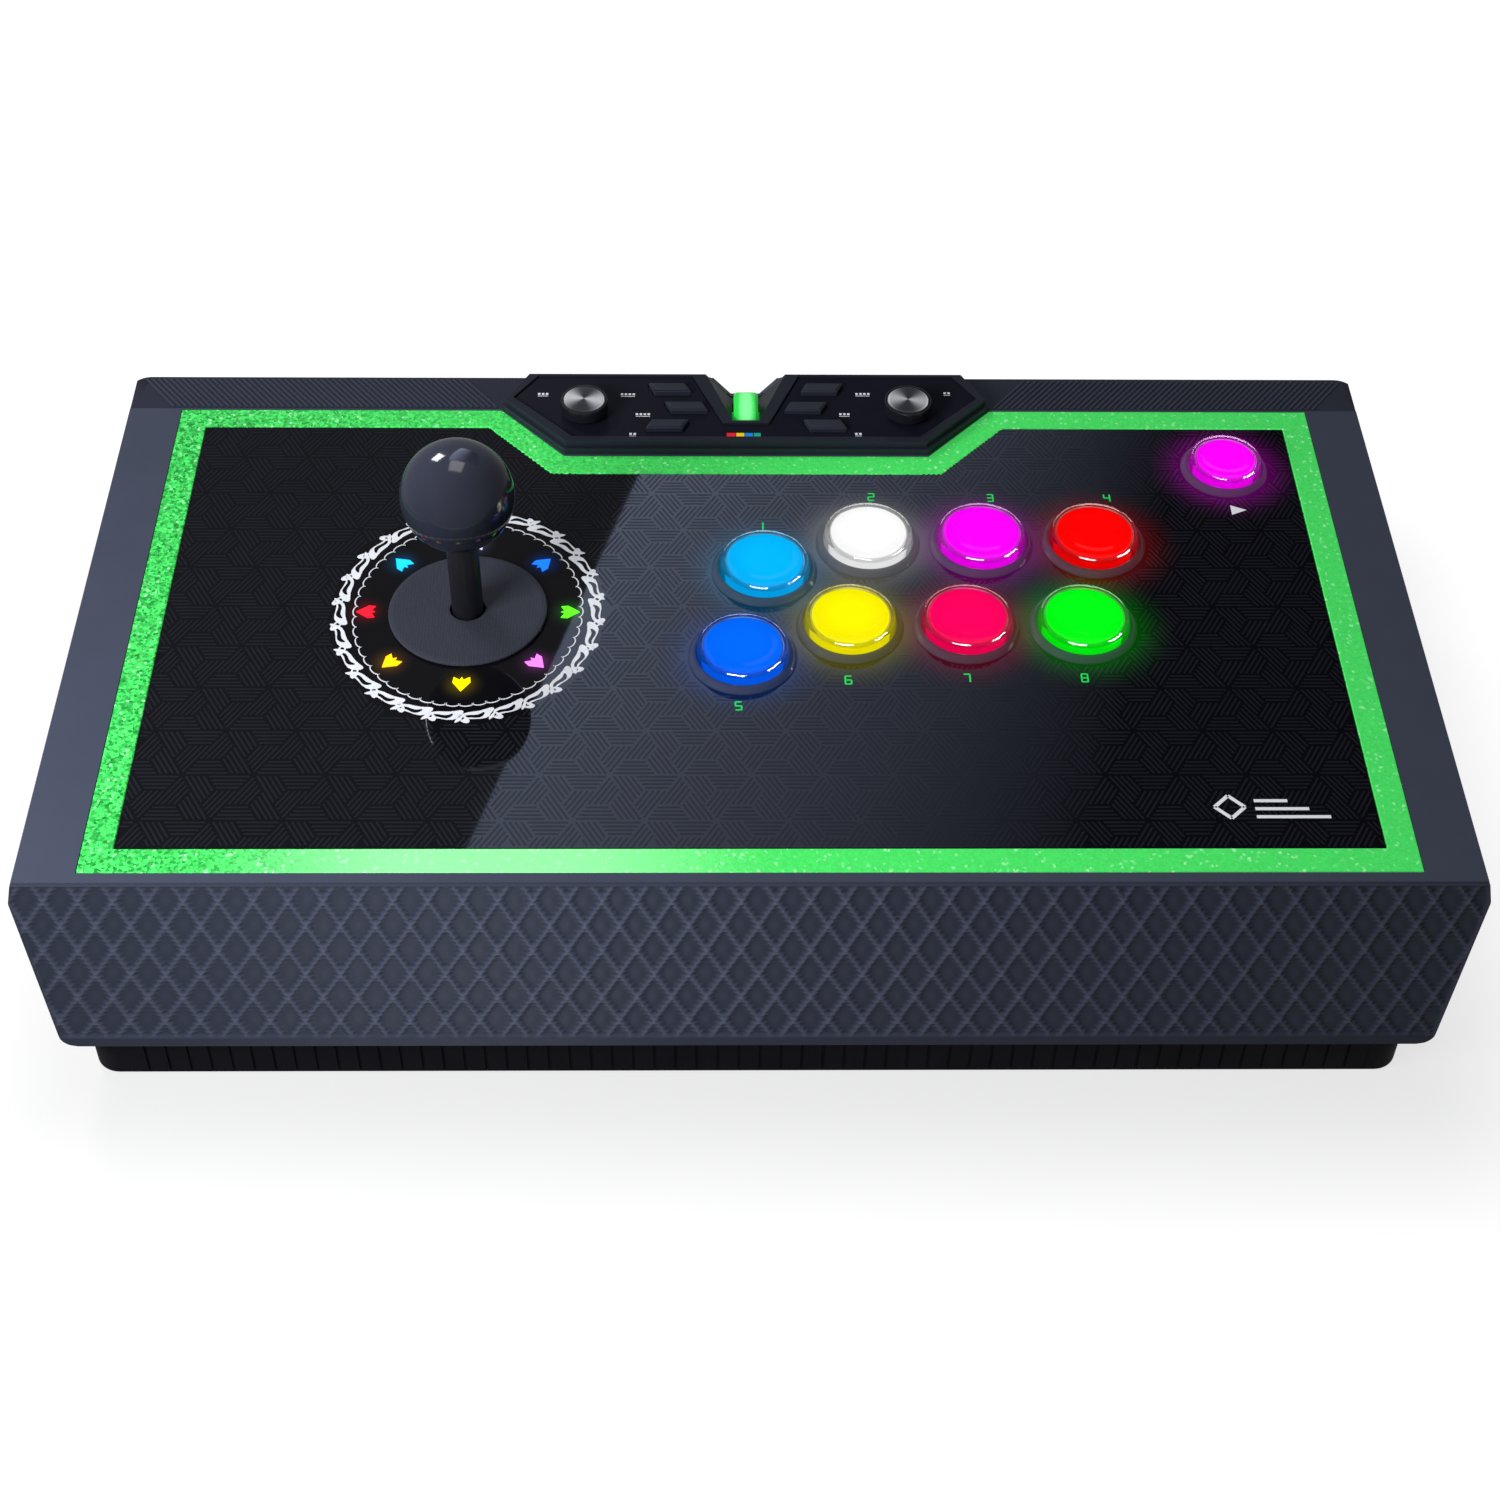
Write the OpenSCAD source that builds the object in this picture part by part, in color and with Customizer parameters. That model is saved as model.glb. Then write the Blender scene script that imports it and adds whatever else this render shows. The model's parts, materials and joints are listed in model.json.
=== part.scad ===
// Arcade joystick panel: a low desktop case with an eight-way lever on the left,
// nine lit push buttons on the right and a raised control module at the rear.
// Origin: centre of the footprint on the surface the case stands on, +Z up, front face at -Y.

/* [Case] */
// Width of the case along its upper front edge
body_w = 425; // [350:1:520]
// Depth of the case from front cover to rear wall
body_d = 234; // [190:1:290]
// Height of the case above the plinth
body_h = 76; // [64:1:100]
// Height of the plinth under the case
plinth_h = 20; // [16:1:30]
// How far the rubber feet stand out below the plinth
foot_h = 1.5; // [1:0.5:4]
// Wall thickness of the case and the plinth
wall = 3; // [2.5:0.1:4]
// Thickness of the upper deck around the control panel
deck_t = 4; // [3.5:0.1:5]
// How far each side swells outward below the upper edge
shoulder_out = 2; // [0:0.25:4]
// Depth of the swelling below the upper edge
shoulder_drop = 8; // [4:0.5:12]
// How far each side draws in at the bottom
taper_in = 0.75; // [0:0.25:2]
// Radius of the two rear vertical corners
rear_r = 7; // [3:0.5:12]
// Radius of the lower edges of the sides
sole_r = 5; // [2:0.5:8]
// Setback of the plinth from the front and rear faces
plinth_set_y = 5; // [3:0.5:10]
// Setback of the plinth from the upper side edges
plinth_set_x = 6.3; // [4:0.1:12]
// Height of the deck lip that covers the top of the front cover
lip_t = 2.2; // [1.5:0.1:4]
// Thickness of the two ribbed rear trims
trim_t = 2; // [1:0.1:2.5]

/* [Control panel] */
// Deck left beside the green frame on the left and right
frame_side = 18; // [12:0.5:26]
// Deck left in front of the green frame
frame_front = 5; // [4:0.5:12]
// Distance from the rear face to the green frame
frame_rear = 18.3; // [12:0.1:30]
// Width of the green frame
frame_w = 9.2; // [5:0.1:14]
// Thickness of the green frame
frame_t = 2.2; // [1.6:0.1:3]
// How far the glossy panel lies below the green frame
panel_sink = 0.2; // [0.1:0.05:0.6]
// Thickness of the steel mounting plate under the panel
plate_t = 2; // [1.5:0.1:3]
// Width of the ledge that carries the mounting plate
ledge_w = 7; // [6.5:0.5:9]
// Thickness of that ledge
ledge_t = 3; // [2:0.1:4]

/* [Buttons] */
// Distance between buttons along a row
button_pitch = 37; // [36:0.5:42]
// Distance between the two button rows
row_gap = 39.6; // [37:0.1:46]
// Sideways shift of the lower row
row_shift = 7.4; // [0:0.1:12]
// Sideways step from the second column to the first
first_col_step = 34.1; // [33:0.1:40]
// How far the first column sits lower than the others
first_col_drop = 13.6; // [0:0.1:20]
// Distance of the second column from the middle of the case
second_col_x = 39.3; // [36:0.1:60]
// Distance of the upper row from the rear face
upper_row_back = 86.6; // [80:0.1:110]
// Diameter of the clear plunger of a large button
plunger_d = 28.6; // [27:0.1:28.8]
// Diameter of the clear plunger of the start button
start_plunger_d = 23.6; // [20:0.1:25]
// Distance of the start button from the right upper edge
start_from_side = 50.7; // [44:0.1:70]
// Distance of the start button from the rear face
start_back = 49; // [47:0.1:60]
// How far a plunger stands above the deck
plunger_rise = 6.2; // [4:0.1:9]
// Travel of a plunger
plunger_travel = 2.5; // [1:0.1:3.5]
// Width of the button rim around its barrel
rim_w = 1.45; // [1.2:0.05:3]
// Height of the button rim above the panel
rim_h = 2; // [1:0.1:3]
// Wall of the button barrel
barrel_wall = 1.1; // [0.8:0.1:1.5]
// Length of the button barrel below the rim
barrel_len = 26; // [20:0.5:34]

/* [Joystick] */
// Distance of the lever from the middle of the case
stick_x = -89.3; // [-110:0.1:-85]
// Distance of the lever from the rear face
stick_back = 119.6; // [105:0.1:130]
// Diameter of the ball top
ball_d = 35; // [30:0.5:40]
// Height of the ball centre above the deck
ball_rise = 48.3; // [42:0.1:60]
// Diameter of the steel shaft
shaft_d = 7.3; // [6:0.1:8]
// Outer diameter of the sleeve over the shaft
sleeve_d = 10; // [9:0.1:11]
// Diameter of the dust washer on the panel
washer_d = 50.4; // [44:0.1:56]
// Thickness of the dust washer
washer_t = 1.2; // [0.8:0.1:2]
// Depth of the pivot below the deck
pivot_depth = 27; // [24:0.5:32]
// Largest tilt of the lever along each axis, in degrees
stick_tilt = 10; // [6:1:10]

/* [Control module] */
// Width of the module at its rear
mod_back_w = 152; // [150:1:156]
// Width of the module at its widest point
mod_mid_w = 168.6; // [166:0.2:172]
// Width of the module at its front
mod_front_w = 123.6; // [120:0.2:128]
// Distance of the module's rear face from the rear of the case
mod_back = 2.5; // [2.3:0.1:3.5]
// Distance of the module's widest point from the rear of the case
mod_mid = 18; // [17.8:0.1:19]
// Distance of the module's front face from the rear of the case
mod_front = 41.8; // [41:0.1:42]
// Height of the module above the deck
mod_rise = 4.5; // [4:0.1:6]
// Diameter of the two rotary knobs
knob_d = 16; // [12:0.5:17]
// Distance of each knob from the middle
knob_x = 55.4; // [54:0.1:57]
// Distance of the knobs from the rear of the case
knob_back = 24.5; // [23:0.1:26]
// Height of the knobs above the deck
knob_rise = 10.2; // [8:0.1:14]
// Radius of the thumb wheel
wheel_r = 8.5; // [7.5:0.1:8.6]
// Width of the thumb wheel
wheel_w = 8.4; // [6:0.1:8.6]
// Depth of the wheel's axle below the deck
wheel_sink = 1.4; // [1.2:0.1:2]
// Distance of the wheel's axle from the rear of the case
wheel_back = 20; // [19.8:0.1:20.4]
// Length of a module key
key_l = 12.6; // [10:0.1:13]
// Depth of a module key
key_d = 4.8; // [4:0.1:5]
// Travel of a module key
key_travel = 0.8; // [0.4:0.1:1]

/* [Fits] */
// Side gap between parts that drop into one another
fit = 0.15; // [0.1:0.05:0.3]
// Radial clearance of a turning pin or shaft
run_fit = 0.05; // [0.02:0.01:0.1]
// Gap around a part that slides
slide_gap = 0.3; // [0.2:0.05:0.5]

/* [Hidden] */
$fn = 64;
z_plinth = foot_h;
z_case = z_plinth + plinth_h;
z_top = z_case + body_h;
rear = body_d / 2;
front = -rear;
half_w = body_w / 2;
full_w = body_w + 2 * shoulder_out;
cover_t = wall;
inner_x = half_w - wall - 1.5;
inner_front = front + cover_t + wall;
inner_rear = rear - wall;
through = 1;

// Heights of the stacked control panel
z_plate = z_top - frame_t - plate_t;
z_sheet = z_top - frame_t;
z_panel = z_top - panel_sink;
z_ledge = z_plate - ledge_t;

// Lower lip of the case, which rests on the plinth wall
lip_h = 2.5;
side_lip = 16;
end_lip = 7;

// Plinth
plinth_half_x = half_w - plinth_set_x;
plinth_half_y = rear - plinth_set_y;
plinth_r = 8;
plinth_floor = 2.5;
foot_r = 10;
foot_recess = 1;
foot_x = half_w - 34;
foot_y = rear - 25;

// Screws
screw_r = 1.5;
screw_head_r = 3;
screw_head_h = 2;
post_r = 5;
base_boss_h = 16;
base_screw_x = half_w - 14;
base_screw_y = rear - 22;
base_screw_head_z = z_plinth + 1;
plate_screw_x = half_w - frame_side - ledge_w / 2;
plate_screw_spots = [
    for (side = [-1, 1])
        for (y = [-0.32, 0, 0.32]) [side * plate_screw_x, y * body_d],
    for (side = [-1, 1]) [side * body_w * 0.2, inner_front + screw_head_r + slide_gap]
];
base_screw_spots = [
    for (side = [-1, 1])
        for (y = [-base_screw_y, 0, base_screw_y]) [side * base_screw_x, y]
];

// Buttons: centre, plunger diameter
upper_row_y = rear - upper_row_back;
button_x = function(col, row) second_col_x + (col - 1) * button_pitch
    - (col == 0 ? first_col_step - button_pitch : 0) - row * row_shift;
button_y = function(col, row) upper_row_y - (col == 0 ? first_col_drop : 0) - row * row_gap;
start_spot = [half_w - start_from_side, rear - start_back];
button_spots = concat(
    [for (row = [0, 1]) for (col = [0:3]) [button_x(col, row), button_y(col, row), plunger_d]],
    [[start_spot[0], start_spot[1], start_plunger_d]]
);
barrel_r = function(d) d / 2 + slide_gap + barrel_wall;
rim_r = function(d) barrel_r(d) + rim_w;
plunger_top_t = 1.6;
plunger_skirt = 9;
plunger_wall = 1.5;
stem_r = 3;
barrel_floor = 2;
lamp_t = 2.4;
nut_h = 5;
nut_w = 2.1;
switch_size = [20, 6.4, 10];

// Joystick, measured from the deck
stick_y = rear - stick_back;
z_pivot = z_top - pivot_depth;
ball_z = z_top + ball_rise;
shaft_r = shaft_d / 2;
sleeve_r = sleeve_d / 2;
z_washer = z_panel + slide_gap;
washer_reach = z_washer + washer_t / 2 - z_pivot;
washer_shift = washer_reach * tan(stick_tilt);
tilt_both = acos(cos(stick_tilt) * cos(stick_tilt));
washer_bore = sleeve_r / cos(tilt_both) + washer_t * tan(tilt_both) / 2 + 0.35;
stick_hole_r = washer_shift * 1.43 + sleeve_r / cos(tilt_both) + 0.7;
house_half = 29;
house_wall = 3;
house_flange = [84, 68];
flange_t = 2;
lever_screw = [36, 28];
shutter_t = 1.2;
z_shutter = z_plate - flange_t - slide_gap - shutter_t;
shutter_reach = z_shutter + shutter_t / 2 - z_pivot;
shutter_play = (washer_reach - shutter_reach) * tan(stick_tilt) + 0.6;
shutter_r = house_half - house_wall - washer_shift - 0.4;
slot_half_x = sleeve_r + shutter_play + 0.6;
slot_half_y = sleeve_r + shutter_reach * tan(stick_tilt) + 0.8;
rail_h = 1.5;
rail_y = 17;
block_size = [16, 14, 12];
gimbal_in = [16, 7.5];
gimbal_out = [20.5, 12.5];
gimbal_h = 10;
gimbal_pin_r = 3;
block_pin_r = 2.5;
switch_depth = 24;
z_switch = z_pivot - switch_depth;
actuator_r = 6.5;
actuator_h = 6;
switch_gap = (switch_depth + actuator_h / 2) * sin(stick_tilt) + actuator_r + 0.6;
lever_switch_size = [20, 10, 6.4];
switch_button_l = 1.4;
z_house_floor = z_switch - lever_switch_size[2] / 2;
house_floor_t = 3;
z_gate = z_house_floor - house_floor_t;
gate_t = 3;
shaft_below = z_pivot - z_gate + gate_t + 2;
gate_half = (z_pivot - z_gate + gate_t) * tan(stick_tilt) * 1.02 + shaft_r / cos(tilt_both) + 0.35;

// Centering spring
spring_wire_r = 0.7;
spring_turns = 5;
spring_r = shaft_r + spring_wire_r + 0.4;
spring_top = z_pivot - block_size[2] / 2 - spring_wire_r - 0.1;
spring_bottom = z_switch + actuator_h / 2 + spring_wire_r + 0.1;

// Arrow lenses around the lever
arrow_ring_r = 32.5;
arrow_l = 6;

// Module
z_fascia = z_top + 2;
fascia_t = 1.8;
mod_sink = 12;
mod_shoulder = 2;
board_t = 1.6;
z_mod_board = z_top - mod_sink + 2;
key_flange = 0.9;
key_stem_r = 1.5;
key_slant = 2.1;
knob_shaft_r = 3;
encoder_r = 5.5;
knob_foot = 0.4;
disc_t = 1.3;
disc_rim = 1;
wheel_y = rear - wheel_back;
wheel_z = z_top - wheel_sink;
wheel_axle_r = 1.6;
wheel_axle_half = 7.4;
wheel_gap = 0.5;
vee_back_half = 15.5;
vee_half = wheel_w / 2 + 0.8;
vee_tip_back = 27.4;
vee_depth = 7;
lens_size = [13, 2.2];
lens_spot = [-1, rear - 35.7];

// Module keys: centre and slant direction, the right-hand side
key_rows = [[26.3, rear - 12, 1], [20.5, rear - 22.2, 1], [27, rear - 31.8, -1]];

// ---------- outlines ----------

// Left-hand normal of the edge from a to b
function edge_normal(a, b) = let(v = b - a) [-v[1], v[0]] / norm(v);

// A counter-clockwise outline moved inward by d, or outward when d is negative
function inset(pts, d) = [
    for (i = [0:len(pts) - 1])
        let(
            n = len(pts),
            n1 = edge_normal(pts[(i + n - 1) % n], pts[i]),
            n2 = edge_normal(pts[i], pts[(i + 1) % n])
        )
        pts[i] + d * (n1 + n2) / (1 + n1 * n2)
];

// Right half of an outline, bottom to top, completed by its mirror image
function mirrored(right_half) = concat(
    right_half,
    [for (i = [len(right_half) - 1:-1:0]) [-right_half[i][0], right_half[i][1]]]
);

frame_outline = mirrored([
    [half_w - frame_side, front + frame_front],
    [half_w - frame_side, rear - frame_rear],
    [mod_mid_w / 2, rear - frame_rear],
    [mod_front_w / 2, rear - mod_front - 0.8]
]);

module_outline = mirrored([
    [mod_front_w / 2, rear - mod_front],
    [mod_mid_w / 2, rear - mod_mid],
    [mod_back_w / 2, rear - mod_back]
]);

fascia_outline = mirrored([
    [mod_front_w / 2 - 2.8, rear - mod_front + 4.3],
    [mod_mid_w / 2 - 4.3, rear - mod_mid + 1.4],
    [mod_back_w / 2 - 4, rear - mod_back - 2.2],
    [vee_back_half + 3, rear - mod_back - 2.2],
    [vee_half + 3, wheel_y - wheel_r - 2.1]
]);

// Slanted outline of a module key
function key_outline(spot, side) =
    let(x = side * spot[0], s = side * spot[2] * key_slant / 2, l = key_l / 2, d = key_d / 2)
    [
        [x - l - s, spot[1] - d], [x + l - s, spot[1] - d],
        [x + l + s, spot[1] + d], [x - l + s, spot[1] + d]
    ];

module slab(pts, z0, z1) {
    translate([0, 0, z0]) linear_extrude(z1 - z0) polygon(pts);
}

module rounded_plate(half_x, half_y, r, z0, z1) {
    translate([0, 0, z0]) linear_extrude(z1 - z0) {
        square([2 * (half_x - r), 2 * half_y], center = true);
        square([2 * half_x, 2 * (half_y - r)], center = true);
        for (sx = [-1, 1])
            for (sy = [-1, 1])
                translate([sx * (half_x - r), sy * (half_y - r)]) circle(r);
    }
}

module block(lo, hi) {
    translate(lo) cube(hi - lo);
}

module rod(x, y, z0, z1, r) {
    translate([x, y, z0]) cylinder(h = z1 - z0, r = r);
}

// Screw standing head down, its head seated under z
module screw_up(x, y, z, length) {
    rod(x, y, z - screw_head_h, z, screw_head_r);
    rod(x, y, z - through / 2, z + length, screw_r);
}

// ---------- case ----------

// Front view of the case: shoulders, tapered sides and rounded lower edges
case_profile = mirrored(concat(
    [for (a = [-90:15:0])
        [half_w - taper_in - sole_r + sole_r * cos(a), z_case + sole_r + sole_r * sin(a)]],
    [[half_w + shoulder_out, z_top - shoulder_drop], [half_w, z_top]]
));

module case_form() {
    intersection() {
        translate([0, rear, 0]) rotate([90, 0, 0]) linear_extrude(body_d) polygon(case_profile);
        translate([0, 0, z_case - through]) linear_extrude(body_h + 2 * through) {
            translate([-full_w / 2, front]) square([full_w, body_d - rear_r]);
            translate([rear_r - full_w / 2, front]) square([full_w - 2 * rear_r, body_d]);
            for (side = [-1, 1])
                translate([side * (full_w / 2 - rear_r), rear - rear_r]) circle(rear_r);
        }
    }
}

module cover_space(over) {
    block([-full_w, front - over, z_case - over], [full_w, front + cover_t, z_top - lip_t]);
}

// The notch at the rear through which a fingertip reaches the thumb wheel
module vee_cut(grow) {
    y_tip = rear - vee_tip_back - grow;
    y_out = rear + through;
    drop = vee_depth * (vee_tip_back + through) / vee_tip_back;
    lift = mod_rise + 0.5;
    hull() {
        for (side = [-1, 1]) {
            block_point([side * (vee_half + grow), y_tip, z_top + lift]);
            block_point([side * (vee_half + grow), y_tip, z_top + mod_rise - 1 - grow]);
            block_point([side * (vee_half + grow), y_out, z_top - drop - grow]);
            block_point([side * (vee_back_half + 1.3 * grow), y_out, z_top + lift]);
            block_point([side * (vee_back_half + 1.3 * grow), y_out, z_top + mod_rise - 0.2 * grow]);
        }
    }
}

module block_point(p) {
    translate(p) cube(0.02, center = true);
}

module trim_form() {
    difference() {
        intersection() {
            case_form();
            block([-full_w, rear - frame_rear + 0.6, z_top - trim_t],
                  [full_w, rear + through, z_top + through]);
        }
        slab(inset(module_outline, -fit), z_top - trim_t - through, z_top + 2 * through);
        block([-mod_back_w / 2 - fit, rear - mod_mid, z_top - trim_t - through],
              [mod_back_w / 2 + fit, rear + 2 * through, z_top + 2 * through]);
    }
}

cover_peg_r = 2;
cover_peg_spots = [
    for (x = [-0.42, 0, 0.42]) for (z = [0.2, 0.75]) [x * body_w, z_case + z * body_h]
];

module case_shell() color([0.19, 0.2, 0.24]) {
    difference() {
        union() {
            difference() {
                case_form();
                block([-inner_x, inner_front, z_case + lip_h], [inner_x, inner_rear, z_top - deck_t]);
                block([side_lip - inner_x, inner_front + end_lip, z_case - through],
                      [inner_x - side_lip, inner_rear - end_lip, z_case + lip_h + through]);
            }
            slab(inset(frame_outline, -2), z_ledge, z_top);
            for (p = base_screw_spots)
                rod(p[0], p[1], z_case, z_case + base_boss_h, post_r);
        }
        cover_space(through);
        slab(inset(frame_outline, -fit), z_plate, z_top + through);
        slab(inset(frame_outline, ledge_w), z_ledge - through, z_top);
        slab(inset(module_outline, mod_shoulder - fit), z_ledge - through, z_top + through);
        vee_cut(0);
        trim_form();
        for (p = base_screw_spots)
            rod(p[0], p[1], z_case - through, z_case + base_boss_h - 2, screw_r + run_fit);
        for (p = plate_screw_spots)
            rod(p[0], p[1], z_ledge - through, z_top, screw_r + run_fit);
        for (p = cover_peg_spots)
            translate([p[0], inner_front + through, p[1]]) rotate([90, 0, 0])
                cylinder(h = wall + 2 * through, r = cover_peg_r + run_fit);
    }
}

module front_cover() color([0.2, 0.21, 0.26]) {
    intersection() {
        case_form();
        cover_space(through);
    }
    for (p = cover_peg_spots)
        translate([p[0], inner_front - 0.5, p[1]]) rotate([90, 0, 0])
            cylinder(h = wall, r = cover_peg_r);
}

module rear_trims() color([0.17, 0.18, 0.21]) {
    trim_form();
}

board_half = [60, 32];
board_back = rear - plinth_set_y - wall - 0.4;
standoff_h = 6;
z_board = z_plinth + plinth_floor + standoff_h;
board_post_spots = [
    for (sx = [-1, 1]) for (y = [-6, 6 - 2 * board_half[1]])
        [sx * (board_half[0] - 5), board_back + y]
];
usb_half = [4.5, 1.6];
usb_l = 8;
usb_z = z_board + board_t + usb_half[1];

module base_tray() color([0.07, 0.07, 0.08]) {
    difference() {
        union() {
            difference() {
                rounded_plate(plinth_half_x, plinth_half_y, plinth_r, z_plinth, z_case);
                rounded_plate(plinth_half_x - wall, plinth_half_y - wall, plinth_r - wall,
                              z_plinth + plinth_floor, z_case + through);
            }
            for (p = base_screw_spots)
                rod(p[0], p[1], z_plinth, z_case, post_r);
            for (p = board_post_spots)
                rod(p[0], p[1], z_plinth, z_board, 3);
        }
        for (p = base_screw_spots) {
            rod(p[0], p[1], z_plinth - through, z_case + through, screw_r + 0.25);
            rod(p[0], p[1], z_plinth - through, base_screw_head_z + screw_head_h, screw_head_r + 0.3);
        }
        for (sx = [-1, 0, 1])
            for (sy = [-1, 1])
                rod(sx * foot_x, sy * foot_y, z_plinth - through, z_plinth + foot_recess, foot_r + fit);
        block([-usb_half[0] - 1.5, plinth_half_y - wall - through, usb_z - usb_half[1] - 1.4],
              [usb_half[0] + 1.5, plinth_half_y + through, usb_z + usb_half[1] + 1.5]);
    }
}

module feet() color([0.04, 0.04, 0.04]) {
    for (sx = [-1, 0, 1])
        for (sy = [-1, 1])
            rod(sx * foot_x, sy * foot_y, 0, z_plinth + foot_recess, foot_r);
}

module machine_screws() color([0.6, 0.61, 0.63]) {
    for (p = base_screw_spots)
        screw_up(p[0], p[1], base_screw_head_z + screw_head_h,
                 z_case + base_boss_h - 4 - base_screw_head_z - screw_head_h);
    for (p = plate_screw_spots)
        screw_up(p[0], p[1], z_ledge, ledge_t + plate_t - 0.1);
    for (sx = [-1, 1])
        for (sy = [-1, 1])
            screw_up(stick_x + sx * lever_screw[0], stick_y + sy * lever_screw[1],
                     z_plate - flange_t, flange_t + plate_t - 0.1);
}

module green_frame() color([0.25, 0.85, 0.4]) {
    difference() {
        slab(frame_outline, z_sheet, z_top);
        slab(inset(frame_outline, frame_w), z_sheet - through, z_top + through);
    }
}

module button_holes(z0, z1) {
    for (b = button_spots)
        rod(b[0], b[1], z0, z1, barrel_r(b[2]) + fit);
}

module mounting_plate() color([0.5, 0.51, 0.53]) {
    difference() {
        slab(frame_outline, z_plate, z_sheet);
        button_holes(z_plate - through, z_sheet + through);
        rod(stick_x, stick_y, z_plate - through, z_sheet + through, stick_hole_r);
        for (p = plate_screw_spots)
            rod(p[0], p[1], z_plate - through, z_sheet + through, screw_r + run_fit);
        for (sx = [-1, 1])
            for (sy = [-1, 1])
                rod(stick_x + sx * lever_screw[0], stick_y + sy * lever_screw[1],
                    z_plate - through, z_sheet + through, screw_r + run_fit);
    }
}

// Arrowhead with swept wings, pointing along +X
arrow_outline = [
    [0.5, 0], [-0.14, 0.46], [-0.5, 0.42], [-0.3, 0.1],
    [-0.5, 0], [-0.3, -0.1], [-0.5, -0.42], [-0.14, -0.46]
] * arrow_l;

module arrows(pts, z0, z1) {
    for (a = [0:45:315])
        translate([stick_x, stick_y, 0]) rotate([0, 0, a]) translate([arrow_ring_r, 0, 0])
            slab(pts, z0, z1);
}

module art_panel() color([0.02, 0.02, 0.025]) {
    difference() {
        slab(inset(frame_outline, frame_w + fit), z_sheet, z_panel);
        button_holes(z_sheet - through, z_panel + through);
        rod(stick_x, stick_y, z_sheet - through, z_panel + through, stick_hole_r);
        arrows(inset(arrow_outline, -fit / 2), z_sheet - through, z_panel + through);
    }
}

module direction_lenses() color([0.1, 0.7, 0.95]) {
    arrows(arrow_outline, z_sheet, z_panel + 0.05);
}

module main_board() color([0.05, 0.3, 0.14]) {
    y0 = board_back - 2 * board_half[1];
    block([-board_half[0], y0, z_board], [board_half[0], board_back, z_board + board_t]);
    block([-9, y0 + 20, z_board + board_t], [9, y0 + 38, z_board + board_t + 1.6]);
    for (x = [-46:15:44])
        block([x, y0 + 4, z_board + board_t], [x + 11, y0 + 10, z_board + board_t + 7]);
}

module usb_socket() color([0.7, 0.71, 0.73]) {
    y1 = plinth_half_y - 1;
    difference() {
        translate([0, y1, usb_z]) rotate([90, 0, 0]) linear_extrude(usb_l) {
            square([2 * (usb_half[0] - usb_half[1]), 2 * usb_half[1]], center = true);
            for (side = [-1, 1])
                translate([side * (usb_half[0] - usb_half[1]), 0]) circle(usb_half[1]);
        }
        translate([0, y1 + through, usb_z]) rotate([90, 0, 0]) linear_extrude(usb_l) {
            square([2 * (usb_half[0] - usb_half[1]), 2 * usb_half[1] - 0.7], center = true);
            for (side = [-1, 1])
                translate([side * (usb_half[0] - usb_half[1]), 0]) circle(usb_half[1] - 0.35);
        }
    }
}

// ---------- control module ----------

module module_housing() color([0.17, 0.18, 0.22]) {
    cheek_y = 3;
    difference() {
        union() {
            difference() {
                union() {
                    slab(module_outline, z_top, z_top + mod_rise / 2);
                    slab(inset(module_outline, 1.2), z_top + mod_rise / 2, z_top + mod_rise);
                    slab(inset(module_outline, mod_shoulder), z_top - mod_sink, z_top);
                }
                difference() {
                    slab(inset(fascia_outline, 1.5), z_mod_board, z_fascia + through);
                    vee_cut(1.6);
                }
                slab(inset(fascia_outline, 3), z_top - mod_sink - through, z_mod_board + through);
                slab(inset(fascia_outline, -fit), z_fascia, z_top + mod_rise + through);
            }
            for (side = [-1, 1])
                translate([side * (vee_half + 1.5), wheel_y, wheel_z - 1])
                    cube([3, 2 * cheek_y, 8], center = true);
        }
        vee_cut(0);
        block([-wheel_w / 2 - wheel_gap, wheel_y - wheel_r - wheel_gap, z_top - mod_sink - through],
              [wheel_w / 2 + wheel_gap, wheel_y + wheel_r + wheel_gap, z_top + 2 * mod_rise]);
        translate([-wheel_axle_half - 0.2, wheel_y, wheel_z]) rotate([0, 90, 0])
            cylinder(h = 2 * (wheel_axle_half + 0.2), r = wheel_axle_r + run_fit);
    }
}

module module_fascia() color([0.15, 0.16, 0.19]) {
    z1 = z_fascia + fascia_t;
    difference() {
        slab(fascia_outline, z_fascia, z1);
        for (side = [-1, 1]) {
            for (spot = key_rows)
                slab(inset(key_outline(spot, side), -slide_gap), z_fascia - through, z1 + through);
            rod(side * knob_x, rear - knob_back, z_fascia - through, z1 + through,
                knob_shaft_r + run_fit);
        }
        lens_form(fit, z_fascia - through, z1 + through);
    }
}

module key(spot, side) color([0.21, 0.22, 0.26]) {
    pts = key_outline(spot, side);
    z_flange = z_fascia - slide_gap;
    slab(inset(pts, -key_flange), z_flange - 1.2, z_flange);
    slab(pts, z_flange - 0.1, z_fascia + fascia_t + 1.5);
    slab(inset(pts, 0.5), z_fascia + fascia_t + 1.4, z_fascia + fascia_t + 1.9);
    rod(side * spot[0], spot[1], z_mod_board + board_t + 2.6 + key_travel + slide_gap,
        z_flange - 1, key_stem_r);
}

module key_left_rear() key(key_rows[0], -1);
module key_left_middle() key(key_rows[1], -1);
module key_left_front() key(key_rows[2], -1);
module key_right_rear() key(key_rows[0], 1);
module key_right_middle() key(key_rows[1], 1);
module key_right_front() key(key_rows[2], 1);

module knob(side) color([0.03, 0.03, 0.035]) {
    z1 = z_top + knob_rise - 0.3;
    difference() {
        union() {
            rod(side * knob_x, rear - knob_back, z_top + mod_rise + knob_foot, z1, knob_d / 2);
            rod(side * knob_x, rear - knob_back, z_mod_board + board_t + 1.2, z1 - 1, knob_shaft_r);
        }
        rod(side * knob_x, rear - knob_back, z1 - disc_t + 0.3, z1 + through, knob_d / 2 - disc_rim);
    }
}

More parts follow.
